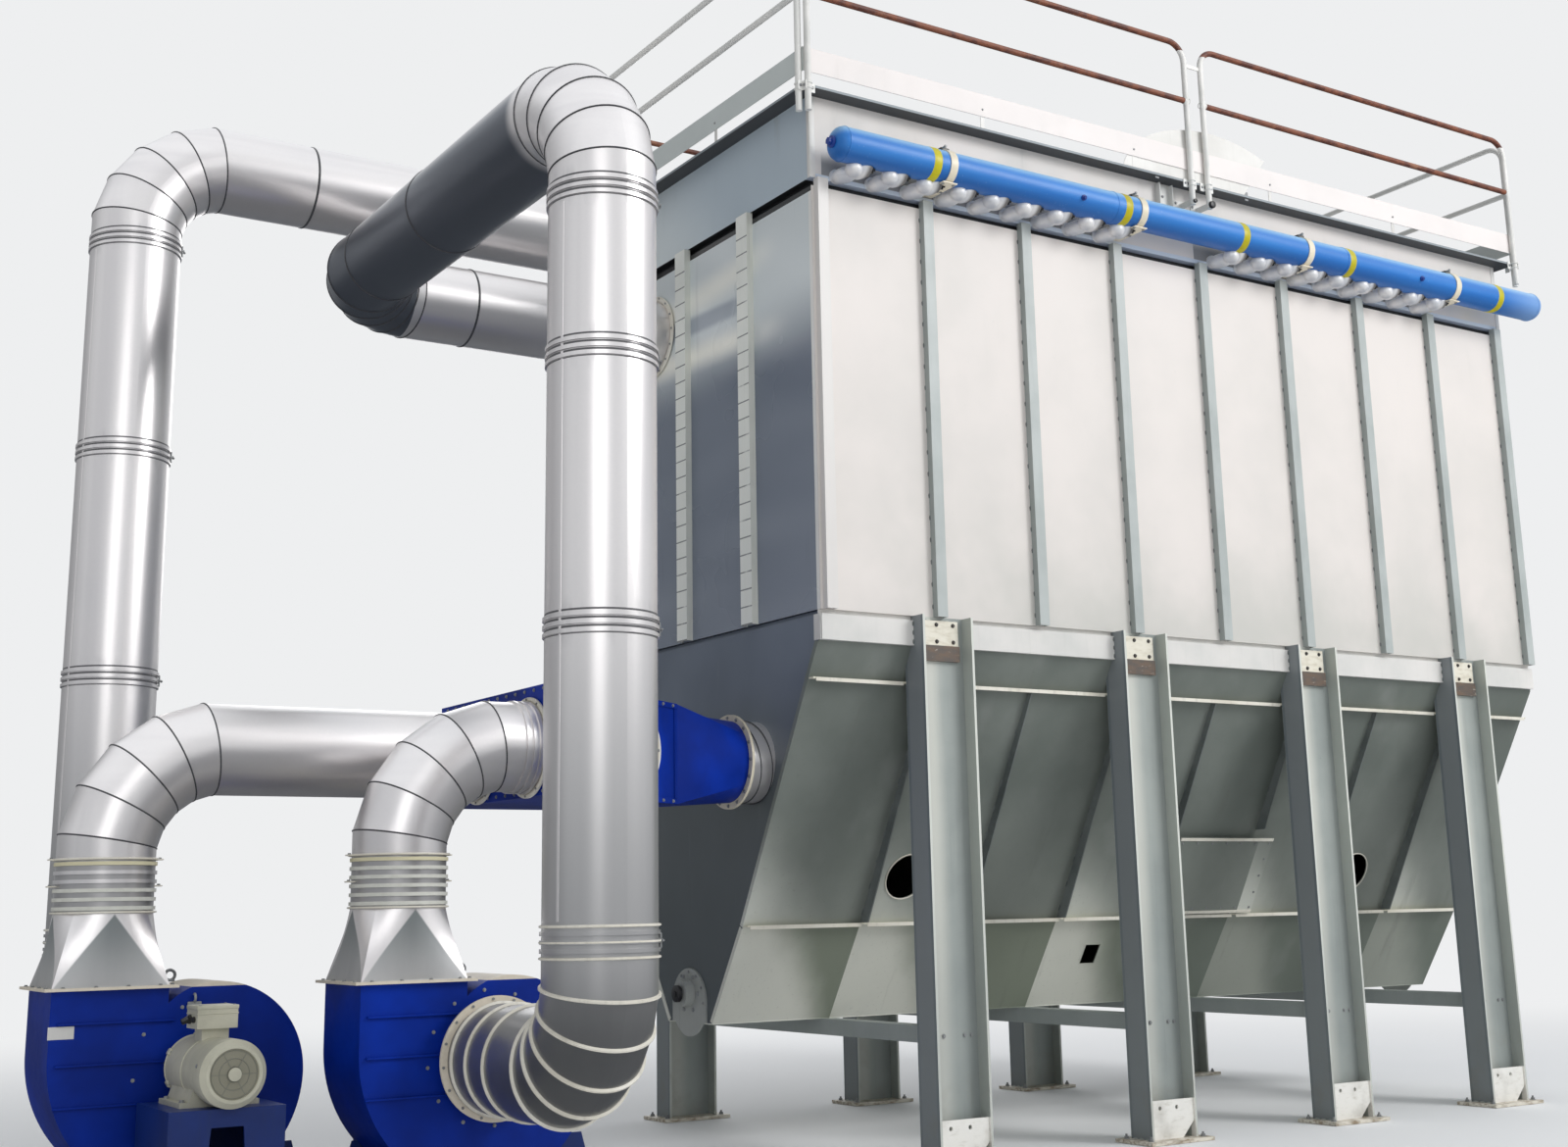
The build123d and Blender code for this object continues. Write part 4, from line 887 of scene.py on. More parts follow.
def deck_steel():
    """Tread plate on top with its seams, pale painted edge, painted shadow below."""
    plate = Finish("deck_tread_plate")
    x, y, z = plate.axes()
    studs = plate.grey("ShaderNodeTexBrick", {"offset": 0.5, "squash": 1.0},
                       {"Vector": plate.place((1, 1, 0)), "Scale": 18.0, "Mortar Size": 0.3,
                        "Color1": (1, 1, 1, 1), "Color2": (0.9, 0.9, 0.9, 1),
                        "Mortar": (0, 0, 0, 1), "Brick Width": 0.9, "Row Height": 0.4})
    clouds = plate.cloud(1.5, 4.0)
    soot = plate.cloud(5.0, 4.0)
    cross_seam = abs((x - left_x - 0.05).phase(2 * bay) - bay)
    long_seam = abs(y - mid_y)
    rim = cross_seam.rise(0.09, 0.0).both(long_seam.rise(0.09, 0.0))
    edge = z.under(deck_hi.z - 0.0005)
    tint = plate.coats(
        (150, 152, 152),
        (clouds.rise(0.3, 0.7), (118, 120, 120)),
        (studs * 0.3, (178, 180, 180)),
        (rim * soot.rise(0.35, 0.65) * 0.5, (92, 92, 90)),
        (cross_seam.under(0.006).both(long_seam.under(0.006)) * 0.8, (52, 54, 56)),
        (edge, plate.mix(clouds, (150, 157, 161), (132, 139, 144))),
        # painted shadow on the underside
        (z.under(deck_lo.z + 0.0005), (70, 72, 74)))
    return plate.set(Base_Color=tint, Metallic=0.1, Roughness=0.45 + clouds * 0.2,
                     Normal=plate.bump(studs * (1 - edge), 0.4, 0.003))


def toe_paint():
    """White board on the long sides, grey green on the ends."""
    paint = Finish("toe_board_paint")
    x = paint.axes("x")
    clouds = paint.cloud(1.6, 4.0)
    runs = paint.cloud(14.0, 4.0, (1.0, 1.0, 0.2))
    end = x.under(toe_lo.x + 0.006).both(x.over(toe_hi.x - 0.006))
    tint = paint.coats(
        (234, 227, 224),
        (clouds.rise(0.35, 0.7), (226, 220, 217)),
        (end, paint.mix(clouds, (216, 222, 220), (196, 203, 201))),
        (runs.rise(0.62, 0.82) * 0.15, (170, 166, 158)))
    return paint.set(Base_Color=tint, Roughness=0.4 + runs * 0.15,
                     Normal=paint.bump(clouds, 0.2, 0.01))


zinc_metal = 0.8

beam_paint = plain_frame("ring_beam_paint", (226, 223, 219), (208, 208, 204), (168, 168, 160),
                         amount=0.5)
cream = plain_frame("cream_flange_paint", (232, 222, 200), (214, 206, 184), (150, 138, 112))
bolt_steel = plain_frame("zinc_bolt_steel", (150, 152, 152), (116, 118, 120), (84, 78, 70),
                         gloss=0.35)
dark_bolt = plain_frame("dark_bolt_steel", (62, 58, 54), (44, 42, 42), (96, 74, 56))
weld_metal = plain_frame("weld_bead_paint", (176, 180, 176), (136, 140, 138), (92, 92, 88))
weld_grime = plain_frame("weld_grime_paint", (122, 128, 126), (92, 98, 98), (60, 62, 62))
black_part = plain_frame("black_fitting", (36, 36, 38), (26, 26, 28), (70, 68, 66))
grille_steel = plain_frame("motor_grille_steel", (132, 132, 120), (108, 108, 98), (70, 70, 64))
shadow_gap = plain_frame("shadow_gap_paint", (44, 47, 48), (32, 34, 36), (64, 64, 62))
screw_plate = plain_frame("screw_plate_paint", (168, 171, 166), (146, 150, 146), (92, 94, 92))
stand_blue = plain_frame("fan_stand_blue", (10, 44, 116), (8, 34, 92), (34, 50, 88))
ring_cream = plain_frame("seam_ring_cream", (238, 234, 222), (214, 208, 192), (150, 146, 134))
seam_dark = plain_frame("seam_sealant_dark", (70, 70, 74), (48, 48, 52), (110, 108, 104))
white_part = plain_frame("white_fitting_paint", (228, 226, 222), (210, 208, 203), (164, 160, 152),
                         amount=0.4)
tape_yellow = plain_frame("marker_tape_yellow", (200, 190, 8), (178, 166, 8), (130, 120, 20))
plug_blue = plain_frame("manifold_plug_blue", (24, 62, 150), (16, 44, 116), (70, 84, 120))
blue = fan_blue("fan_blue_enamel")
blue_part = fan_blue("blue_fitting_enamel")
column_paint = column_finish()
white_rail = white_rail_finish()
hopper_grey = hopper_paint()
valve_alloy = cast_valve()
motor_paint = motor_grey()
manifold_paint = manifold_blue()
spiral_zinc = zinc_streaks("spiral_duct_zinc")[0].material

dress(casing_sheet_paint(), "casing_front_wall", "casing_back_wall")
dress(end_sheet_paint(), "casing_left_wall", "casing_right_wall")
dress(column_paint, "casing_columns", "tie_beams")
dress(end_stiffener_paint(), "casing_end_stiffeners")
dress(plenum_paint(), "plenum")
dress(shadow_gap, "tube_sheet")
dress(deck_steel(), "roof_deck")
dress(toe_paint(), "toe_boards")
dress(front_rail_paint(), "handrail_front_left", "handrail_front_right", "handrail_back")
dress(white_rail, "handrail_left", "handrail_right")
dress(beam_paint, "ring_beam_sides")
dress(end_slate_painted_shade(), "ring_beam_ends", "hopper_left_end", "hopper_right_end")
dress(leg_paint(), "legs_front", "legs_back")
dress(hopper_grey, "hopper_front_plate", "hopper_back_plate", "hopper_floor", "hopper_hatch")
dress(screw_plate, "screw_end_plates")
dress(stiffener_bar_paint(), "hopper_stiffeners")
dress(blue, "inlet_header")
dress(stand_blue, "fan_right_stand", "fan_left_stand")
for side, fan in fans.items():
    inlet_face = fan["front"] - 0.03 if fan["inlet"] < 0 else fan["back"] + 0.03
    dress(fan_blue(f"fan_{side}_blue", (inlet_face, fan["inlet"])), f"fan_{side}_housing")
    dress(discharge_finish(f"fan_{side}_discharge_zinc", fan["outlet"], side == "left"),
          f"fan_{side}_discharge")
dress(motor_paint, "fan_right_motor", "fan_left_motor")
dress(spiral_zinc, "hopper_inlet_duct")
dress(riser_finish("riser_zinc", (4.4, 4.8), riser_joints, (-0.95, -0.86)), "riser_right")
dress(riser_finish("back_riser_zinc", (5.1, 5.5), back_joints), "riser_left")
dress(cream, "inlet_header_fittings", "manifold_straps")
dress(manifold_paint, "air_manifold")
dress(valve_alloy, "pulse_valves")


# Fittings on the casing

def casing_welds():
    """Stitch welds down the toes of every column, bar the toes at the casing's corners."""
    mesh = bmesh.new()
    for x in column_x:
        for side in both_ways:
            if not left_x + 0.04 <= x + side * 0.05 <= right_x - 0.04:
                continue
            for k in range(19):
                spot = (x + side * (column_w / 2 + 0.001), front_y - 0.002,
                        casing_bottom + 0.06 + 0.127 * k)
                for at, out in twins(spot, (side, -1, 0)):
                    weld(mesh, at, out, up, 0.034, 0.011)
    piece("casing_stitch_welds", mesh, weld_grime)


def beam_corners():
    """Cover plates on the ring beam's ends, the plenum's corner strips and their weld runs."""
    strips = bmesh.new()
    welds = bmesh.new()
    strip_h = plenum_h - 0.004
    for x, way in ((plenum_lo.x, -1), (plenum_hi.x, 1)):
        corner = (x - way * 0.016, plenum_lo.y, plenum_lo.z + plenum_h / 2)
        for at, out in twins(corner, to_front):
            bar(strips, at, out, up, (strip_h, 0.034, 0.004), 0.0015, 2)
            bar(strips, at + Vector((way * 0.016, -out.y * 0.012, 0)), to_right * way, up,
                (strip_h, 0.03, 0.004), 0.0015, 2)
    for x, way in ((left_x, -1), (right_x, 1)):
        for at, _ in twins((x, front_y + 0.033, (beam_bottom + beam_top) / 2)):
            bar(strips, at, to_right * way, up, (beam_top - beam_bottom, 0.064, 0.006), 0.001)
    for x in leg_x:
        for side in both_ways:
            for lift in (0.02, 0.07, 0.12):
                spot = (x + side * (leg_h / 2 + 0.004), front_y - 0.001, beam_bottom + lift)
                for at, out in twins(spot, to_front):
                    weld(welds, at, out, up, 0.03)
    piece("ring_beam_corner_plates", strips, beam_paint)
    piece("ring_beam_welds", welds, weld_grime)


def leg_bolts():
    """Head plate bolts, tie bolts through the web and anchor nuts on the feet."""
    heads = bmesh.new()
    ties = bmesh.new()
    anchors = bmesh.new()
    welds = bmesh.new()
    for x in leg_x:
        for across in (-0.03, 0.085):
            for z in (head_top - 0.0235, head_bottom + 0.0235):
                for at, out in twins((x + across, -0.017, z), to_front):
                    bolt(heads, at, out, 0.0105, turn=across * 40)
        for across in (-0.115, -0.07, 0.07, 0.115):
            for at, out in twins((x + across, -leg_web / 2, 0.65), to_front):
                bolt(ties, at, out, 0.011, turn=across * 30)
        for side in both_ways:
            for deep in (-0.1, 0.1):
                for at, _ in twins((x + side * 0.2, deep, foot_plate)):
                    stud(anchors, at, 0.0135)
            for deep in (-0.05, 0.0, 0.05):
                foot = (x + side * 0.178, deep, foot_plate + 0.002)
                for at, _ in twins(foot):
                    weld(welds, at, (side, 0, 1), to_back, 0.04, 0.014, 0.007)
        for k in range(5):
            for z in (head_top + 0.0003, head_bottom - 0.0003):
                for at, out in twins((x - 0.1 + 0.05 * k, -0.011, z), (0, -1, 0.4)):
                    weld(welds, at, out, to_right, 0.032)
    piece("leg_head_bolts", heads, dark_bolt)
    piece("leg_tie_bolts", ties, bolt_steel)
    piece("anchor_nuts", anchors, bolt_steel)
    piece("leg_weld_runs", welds, weld_metal)


# Fittings on the platform

def arched_plate():
    """Blank arched plate behind the front toe board, cut level below and sloped at its right."""
    plate = bmesh.new()
    middle = Matrix.Translation((2.3, toe_lo.y + 0.0065, 5.8))
    bmesh.ops.create_circle(
        plate, cap_ends=True, segments=120, radius=1.0,
        matrix=middle @ Matrix.Rotation(math.pi / 2, 4, "X") @ Matrix.Diagonal((0.80, 0.442, 1, 1)))
    for spot, away in (((0, 0, deck_hi.z + 0.004), down),
                       ((2.762, 0, 6.114), (0.222, 0, -0.173))):
        bmesh.ops.bisect_plane(plate, geom=plate.verts[:] + plate.edges[:] + plate.faces[:],
                               plane_co=spot, plane_no=away, clear_outer=True)
    bmesh.ops.solidify(plate, geom=plate.faces[:], thickness=0.004)
    piece("arched_blank_plate", plate, white_part)
    clips = bmesh.new()
    for x in (1.8, 2.2, 2.6):
        bar(clips, (x, toe_lo.y + 0.012, deck_hi.z), to_back, up, (0.06, 0.03, 0.004))
        bolt(clips, (x, toe_lo.y + 0.016, deck_hi.z + 0.012), to_back, 0.007)
    piece("arched_plate_clips", clips, bolt_steel)


def post_spots():
    """Each post where it crosses the deck's edge, and the way out from the deck."""
    z = deck_hi.z - 0.024
    spots = []
    for x in front_post_x:
        spots += twins((x, deck_lo.y - rail_r, z), to_front)
    for y in (deck_lo.y + rail_r, deck_hi.y - rail_r):
        spots.append((Vector((deck_lo.x - rail_r, y, z)), to_left))
        spots.append((Vector((deck_hi.x + rail_r, y, z)), to_right))
    return spots


def post_fittings(bolts):
    """Clamps of the posts on the deck's edge, and weld rings where the knee rails meet them."""
    clamps = bmesh.new()
    rings = bmesh.new()
    for at, out in post_spots():
        side = Vector((-out.y, out.x, 0))
        for lift in (-0.016, 0.016):
            hoop(clamps, at + up * lift, up, rail_r + 0.0035, 0.004, 24, 6)
        knee = Vector((at.x, at.y, knee_rail_z))
        for s in both_ways:
            foot = at - out * (rail_r - 0.0005) + side * s * 0.04
            bar(clamps, foot, out, up, (0.055, 0.034, 0.006), 0.001)
            bolt(bolts, foot + out * 0.006, out, 0.008)
            beside = knee + side * s * 0.05
            on_rail = abs(beside.x - (left_x + right_x) / 2) <= (deck_hi.x - deck_lo.x) / 2
            if on_rail and deck_lo.y - 0.02 <= beside.y <= deck_hi.y + 0.02:
                hoop(rings, knee + side * s * (rail_r + 0.001), side * s, rail_r + 0.0005,
                     0.003, 20, 6)
    piece("post_clamps", clamps, white_rail)
    piece("rail_weld_rings", rings, white_rail)


def toe_stay(stays, bolts, at, out):
    """Upright flat inside a toe board, with a bolt on the board's outer face."""
    bar(stays, at + up * 0.08, out, up, (0.16, 0.03, 0.004), 0.0008)
    bolt(bolts, at - out * 0.0052 + up * 0.12, -out, 0.0065)


def rail_fittings():
    """Posts' clamps, toe board stays, and the middle posts' feet with the channel beside them."""
    bolts = bmesh.new()
    stays = bmesh.new()
    knobs = bmesh.new()
    channels = bmesh.new()
    post_fittings(bolts)
    for k in range(1, 5):
        spot = (left_x - 0.05 + 1.22 * k, toe_lo.y + 0.0052, deck_hi.z)
        for at, out in twins(spot, to_back):
            toe_stay(stays, bolts, at, out)
    for y in (front_y + 0.86, front_y + 2.02):
        toe_stay(stays, bolts, Vector((toe_lo.x + 0.0052, y, deck_hi.z)), to_right)
        toe_stay(stays, bolts, Vector((toe_hi.x - 0.0052, y, deck_hi.z)), to_left)
    foot_z = rail_lo.z + 0.02
    for x in (middle_post_x, middle_post_x + post_split):
        for at, out in twins((x, plenum_lo.y, foot_z), to_front):
            bar(stays, at, out, to_right, (0.1, 0.085, 0.006), 0.001)
            for s in both_ways:
                bolt(bolts, at + out * 0.006 + Vector((s * 0.035, 0, 0.024)), out, 0.009)
            disc(knobs, at + out * 0.142, out, 0.014, 0.012, 16, 0.002)
    disc(knobs, (middle_post_x + post_split, deck_lo.y - 0.036, foot_z), to_front, 0.024, 0.02,
         24, 0.005)
    low_z, high_z = plenum_lo.z + 0.17, deck_lo.z - 0.012
    for at, out in twins((middle_post_x - 0.15, plenum_lo.y, (low_z + high_z) / 2), to_front):
        bar(channels, at, out, up, (high_z - low_z, 0.11, 0.006), 0.001)
        for s in both_ways:
            bar(channels, at + to_right * s * 0.055, out, up, (high_z - low_z, 0.006, 0.045),
                0.001)
            bolt(bolts, at + out * 0.006 + up * s * 0.08, out, 0.009)
    piece("middle_post_channels", channels, beam_paint)
    piece("platform_bolts", bolts, bolt_steel)
    piece("toe_board_stays", stays, white_part)
    piece("bracket_knobs", knobs, black_part)


def manifold_fittings():
    """Tape marks, end plugs, weld rings, and the straps' clips and screws."""
    middle = Vector((0, manifold_y, manifold_z))
    tapes = bmesh.new()
    for x in (-0.112, 1.356, 2.367, 3.366, 4.908):
        hoop(tapes, middle + to_right * x, to_right, manifold_r, 0.0022, 48, 8, flat=13.0)
    piece("manifold_tape_marks", tapes, tape_yellow)
    plugs = bmesh.new()
    for x, out in ((manifold_lo.x, to_left), (manifold_hi.x, to_right)):
        end = middle + to_right * x
        disc(plugs, end + out * 0.001, out, 0.034, 0.016, 24, 0.003)
        disc(plugs, end + out * 0.017, out, 0.022, 0.018, 6)
    side = Vector((0, -0.97, -0.24))
    for x in (0.98, 4.05):
        foot = middle + to_right * x + side * (manifold_r - 0.002)
        disc(plugs, foot, side, 0.018, 0.012, 20, 0.002)
        disc(plugs, foot + side * 0.012, side, 0.011, 0.01, 6)
    piece("manifold_plugs", plugs, plug_blue)
    clips = bmesh.new()
    screws = bmesh.new()
    for x in leg_x:
        top = middle + Vector((x, 0, manifold_r + 0.006))
        bar(clips, top, up, to_right, (0.062, 0.036, 0.016), 0.003)
        pin = top + Vector((-0.024, -0.02, 0.008))
        disc(screws, pin, to_front, 0.006, 0.03, 12)
        bolt(screws, pin + to_front * 0.03, to_front, 0.009)
        for s in both_ways:
            for deep in (-0.03, 0.09):
                bolt(screws, (x + s * 0.038, manifold_y + deep, manifold_lo.z - 0.0093), down, 0.009)
    piece("strap_clips", clips, dark_bolt)
    piece("strap_screws", screws, bolt_steel)
    welds = bmesh.new()
    for x in (manifold_lo.x + 0.06, manifold_hi.x - 0.06, manifold_lo.x + 2.05,
              manifold_lo.x + 4.1):
        hoop(welds, middle + to_right * x, to_right, manifold_r, 0.0035, 48, 6, flat=1.6)
    piece("manifold_weld_rings", welds, manifold_paint)


def bulb(mesh, at, radii, out):
    """Rounded swelling of a cast body, its length along out."""
    bmesh.ops.create_uvsphere(mesh, u_segments=20, v_segments=12, radius=1.0,
                              matrix=facing(at, out) @ Matrix.Diagonal((*radii, 1.0)))


def valve_fittings():
    """Swelling body, flange, bonnet and coil of each pulse valve; two bays have none."""
    bodies = bmesh.new()
    coils = bmesh.new()
    screws = bmesh.new()
    level = plenum_lo.z + 0.03
    coil_out = Vector((0.8, -0.55, -0.1)).normalized()
    for i in valve_bays:
        for k in range(3):
            x = column_x[i] + valve_pitch * (k + 0.5)
            bulb(bodies, (x, plenum_lo.y - 0.07, level - 0.006), (0.056, 0.046, 0.088),
                 (0.5, -1.0, 0.1))
            bulb(bodies, (x + 0.056, manifold_y + 0.05, level + 0.008), (0.052, 0.05, 0.076),
                 (0.8, -1.0, 0.3))
            disc(bodies, (x - 0.02, plenum_lo.y - 0.001, level), to_front, 0.043, 0.022, 24, 0.006)
            foot = Vector((x + 0.088, manifold_y + 0.03, level + 0.01))
            disc(bodies, foot, coil_out, 0.04, 0.012, 24, 0.003)
            bolt_ring(screws, foot + coil_out * 0.012, coil_out, 0.033, 6, 0.0045, 0.3,
                      washer=False)
            disc(coils, foot + coil_out * 0.012, coil_out, 0.02, 0.026, 20, 0.004)
            disc(coils, foot + coil_out * 0.038, coil_out, 0.008, 0.01, 6)
            bar(coils, foot + coil_out * 0.022 + Vector((0.014, 0.004, 0.006)), (1, 0.4, 0.3),
                coil_out, (0.022, 0.02, 0.018), 0.003)
    piece("valve_bodies", bodies, valve_alloy)
    piece("valve_coils", coils, black_part)
    piece("valve_screws", screws, bolt_steel)


# Fittings on the hopper

def slope_spot(x, z, lift=0.0):
    """Point on the upper slope and the way out of it."""
    out = Vector((0, -1, -slope)).normalized()
    return Vector((x, slope_y + slope * (beam_bottom - z), z)) + out * lift, out


def port_rims():
    """Rings round the two round ports and thin strips round the square one below the knee."""
    rims = bmesh.new()
    for x in (0.235, 4.01):
        at, out = slope_spot(x, 1.495, 0.002)
        hoop(rims, at, out, 0.1425, 0.0042, 64, 8)
    piece("port_rims", rims, ring_cream)
    edges = bmesh.new()
    low_out = Vector((0, -0.8418, -0.5399))
    along = Vector((0, -0.5399, 0.8418))
    middle = Vector((1.86, 0.9911, 1.01)) + low_out * 0.0005
    for s in both_ways:
        bar(edges, middle + to_right * s * 0.0615, low_out, along, (0.146, 0.005, 0.002), 0.0005)
        bar(edges, middle + along * s * 0.0705, low_out, to_right, (0.118, 0.005, 0.002), 0.0005)
    piece("square_port_edge", edges, hopper_grey)


def lip_edges():
    """Cream edge strips on the lips, cut at the legs above and at the ribs below."""
    lips = bmesh.new()
    upper_y = slope_spot(0, upper_lip_z)[0].y
    for level, y, stops, gap in ((upper_lip_z, upper_y, leg_x, 0.19),
                                 (knee_z, knee_y, column_x[1:-1], 0.02)):
        marks = [left_x + 0.012] + stops + [right_x - 0.012]
        for a, b in zip(marks, marks[1:]):
            start = a + (0.006 if a == marks[0] else gap)
            stop = b - (0.006 if b == marks[-1] else gap)
            for at, out in twins(((start + stop) / 2, y - 0.045, level - 0.003), to_front):
                bar(lips, at, out, to_right, (stop - start, 0.021, 0.003), 0.0008)
    piece("lip_edges", lips, ring_cream)


def end_strips():
    """Flats along the sloped edges of the hopper's ends."""
    strips = bmesh.new()
    corners = ((slope_y, beam_bottom), (knee_y, knee_z), (1.19, 0.7))
    for x, way in ((left_x, -1), (right_x, 1)):
        for (y0, z0), (y1, z1) in zip(corners, corners[1:]):
            for (a, _), (b, _), sign in zip(twins((x, y0, z0)), twins((x, y1, z1)), (1, -1)):
                bar(strips, (a + b) / 2 + to_back * sign * 0.016, to_right * way, b - a,
                    ((b - a).length - 0.01, 0.03, 0.005), 0.001)
    piece("hopper_edge_strips", strips, hopper_grey)


def hatch_and_screw():
    """The hatch's strips and bolts, and the bolts and bearing caps of the screw's end plates."""
    bolts = bmesh.new()
    strips = bmesh.new()
    caps = bmesh.new()
    hatch_lo, hatch_hi = ends("hopper_hatch")
    half = (hatch_hi.x - hatch_lo.x) / 2
    at, out = slope_spot(hatch_lo.x + half, 1.5048, 0.053)
    along = Vector((0, -slope, 1)).normalized()
    for s in both_ways:
        bar(strips, at + along * s * 0.258, out, to_right, (2 * half - 0.004, 0.02, 0.005), 0.001)
        for k in range(7):
            bolt(bolts, at + along * s * 0.23 + to_right * half * (k - 3) * 0.31, out, 0.007)
        for k in range(3):
            bolt(bolts, at + to_right * s * (half - 0.03) + along * (k - 1) * 0.12, out, 0.007)
    for x, way in ((left_x, to_left), (right_x, to_right)):
        end = Vector((x, mid_y, screw_z))
        face = end + way * 0.012
        bolt_ring(bolts, face, way, 0.105, 6, 0.011)
        for k in range(7):
            turn = math.radians(30 * k)
            spot = Vector((0, math.cos(turn), math.sin(turn))) * 0.168 - up * 0.05
            bolt(bolts, face + spot, way, 0.008)
        disc(caps, end + way * 0.08, way, 0.048, 0.022, 32, 0.006)
        disc(caps, end + way * 0.102, way, 0.016, 0.006, 6)
    piece("hatch_edge_strips", strips, ring_cream)
    piece("hopper_bolts", bolts, bolt_steel)
    piece("screw_bearing_caps", caps, black_part)


def rib_welds():
    """Weld runs down both sides of the slopes' ribs; the one over the hatch stops short."""
    welds = bmesh.new()
    for x in column_x[1:-1]:
        for k in range(4 if x == column_x[5] else 0, 9):
            for side in both_ways:
                at, out = slope_spot(x + side * 0.005, 1.3 + 0.145 * k, 0.001)
                for spot, way in twins(at, out):
                    down_slope = (0, slope * (1 if way.y > 0 else -1), 1)
                    weld(welds, spot, way + to_right * side, down_slope, 0.05)
    piece("rib_welds", welds, weld_grime)


# Fittings on the ducts

def duct_rings():
    """Seams on the gores, the raised rings of the foot bends and the clamps on the joints."""
    seams = bmesh.new()
    rings = bmesh.new()
    clamps = bmesh.new()
    bolts = bmesh.new()
    laps = bmesh.new()
    front = gored_path(riser_path, (0.37, 0.5, 0.42))
    back = gored_path(back_riser_path, (0.37, 0.5))
    gore_rings(seams, front, range(6, 16), duct_r, 0.0045)
    gore_rings(seams, back, range(6, 11), back_duct_r, 0.0045)
    gore_rings(rings, front, range(1, 6), duct_r, 0.013, 0.6)
    gore_rings(rings, back, range(1, 6), back_duct_r, 0.0105, 0.55)
    for y in (-0.47, -0.62, -0.8):
        hoop(rings, (riser_x, y, fan_z), to_back, duct_r, 0.012, 56, 6, flat=0.6)
    for y in (0.84, 1.1, 1.4):
        hoop(rings, (back_riser_x, y, fan_z), to_back, back_duct_r, 0.0105, 56, 6, flat=0.55)
    for x, y, radius, joints in ((riser_x, riser_y, duct_r, riser_joints),
                                 (back_riser_x, back_riser_y, back_duct_r, back_joints)):
        for k, z in enumerate(joints):
            if k == 0:
                for lift in (-0.062, 0.0, 0.062):
                    hoop(rings, (x, y, z + lift), up, radius + 0.004, 0.0075, 56, 6, flat=0.8)
            out = Vector((0.94, -0.34, 0))
            side = Vector((-out.y, out.x, 0))
            at = Vector((x, y, z)) + out * (radius + 0.006)
            bar(clamps, at, out, up, (0.06, 0.022, 0.008), 0.002)
            disc(bolts, at + out * 0.014 - side * 0.02, side, 0.004, 0.04, 10)
            bolt(bolts, at + out * 0.014 + side * 0.02, side, 0.006)
        top = joints[-1] - 0.06
        out = Vector((-0.95, -0.3, 0)).normalized()
        bar(laps, Vector((x, y, (joints[0] + 0.08 + top) / 2)) + out * (radius - 0.002), out,
            up, (top - joints[0] - 0.08, 0.014, 0.0032), 0.001)
    for y in (0.35, 1.25):
        hoop(seams, (riser_x, y, cross_z), to_back, duct_r, 0.0045, 56, 6, flat=1.6)
    for x in (-2.1, -1.2):
        hoop(seams, (x, cross_y, cross_z), to_right, duct_r, 0.0045, 56, 6, flat=1.6)
    for x in (-3.0, -2.0, -1.2):
        hoop(seams, (x, back_riser_y, back_run_z), to_right, back_duct_r, 0.0045, 56, 6, flat=1.6)
    for x, y, z, radius in ((left_x - 0.012, cross_y, cross_z, duct_r),
                            (plenum_lo.x - 0.012, back_riser_y, back_run_z, back_duct_r)):
        hoop(rings, (x, y, z), to_right, radius + 0.018, 0.018, 64, 8, flat=0.5)
        bolt_ring(bolts, (x - 0.009, y, z), to_left, radius + 0.024, 16, 0.008, washer=False)
    for fan in fans.values():
        x, y = fan["outlet"]
        path = gored_path([(x, y, collar_z), (x, y, discharge_z), (header_face, y, discharge_z)],
                          (0.5,))
        gore_rings(seams, path, range(1, 6), discharge_r, 0.0038)
        hoop(rings, (x, y, collar_top + 0.001), up, discharge_r + 0.008, 0.011, 56, 6, flat=0.5)
        hoop(rings, (x, y, collar_z + 0.002), up, discharge_r + 0.006, 0.01, 56, 6, flat=0.5)
        for z in (collar_top + 0.001, collar_z + 0.115):
            for way in both_ways:
                bar(rings, (x + way * (discharge_r + 0.012), y, z - 0.003), up, to_right,
                    (0.05, 0.04, 0.006), 0.0015)
                bolt(bolts, (x + way * (discharge_r + 0.024), y, z + 0.003), up, 0.008)
        ring_x = header_face - 0.012
        hoop(rings, (ring_x, y, discharge_z), to_right, discharge_r + 0.015, 0.015, 56, 6, flat=0.6)
        bolt_ring(bolts, (ring_x - 0.008, y, discharge_z), to_left, discharge_r + 0.018, 12, 0.007,
                  washer=False)
        for s in both_ways:
            for k in range(4):
                across = 0.135 * (k - 1.5)
                bolt(bolts, (x + across, y + s * 0.243, outlet_z), up, 0.0085)
                bolt(bolts, (x + s * 0.264, y + across, outlet_z), up, 0.0085)
    for x in (left_x - 0.118, left_x - 0.045):
        hoop(seams, (x, inlet_duct_y, header_z), (1, 0.1, 0.16), 0.2262, 0.0035, 56, 6,
             long=1.02, along=up)
    piece("duct_lap_seams", laps, spiral_zinc)
    piece("duct_seams", seams, seam_dark)
    piece("duct_rings", rings, ring_cream)
    piece("duct_clamps", clamps, bolt_steel)
    piece("duct_bolts", bolts, bolt_steel)


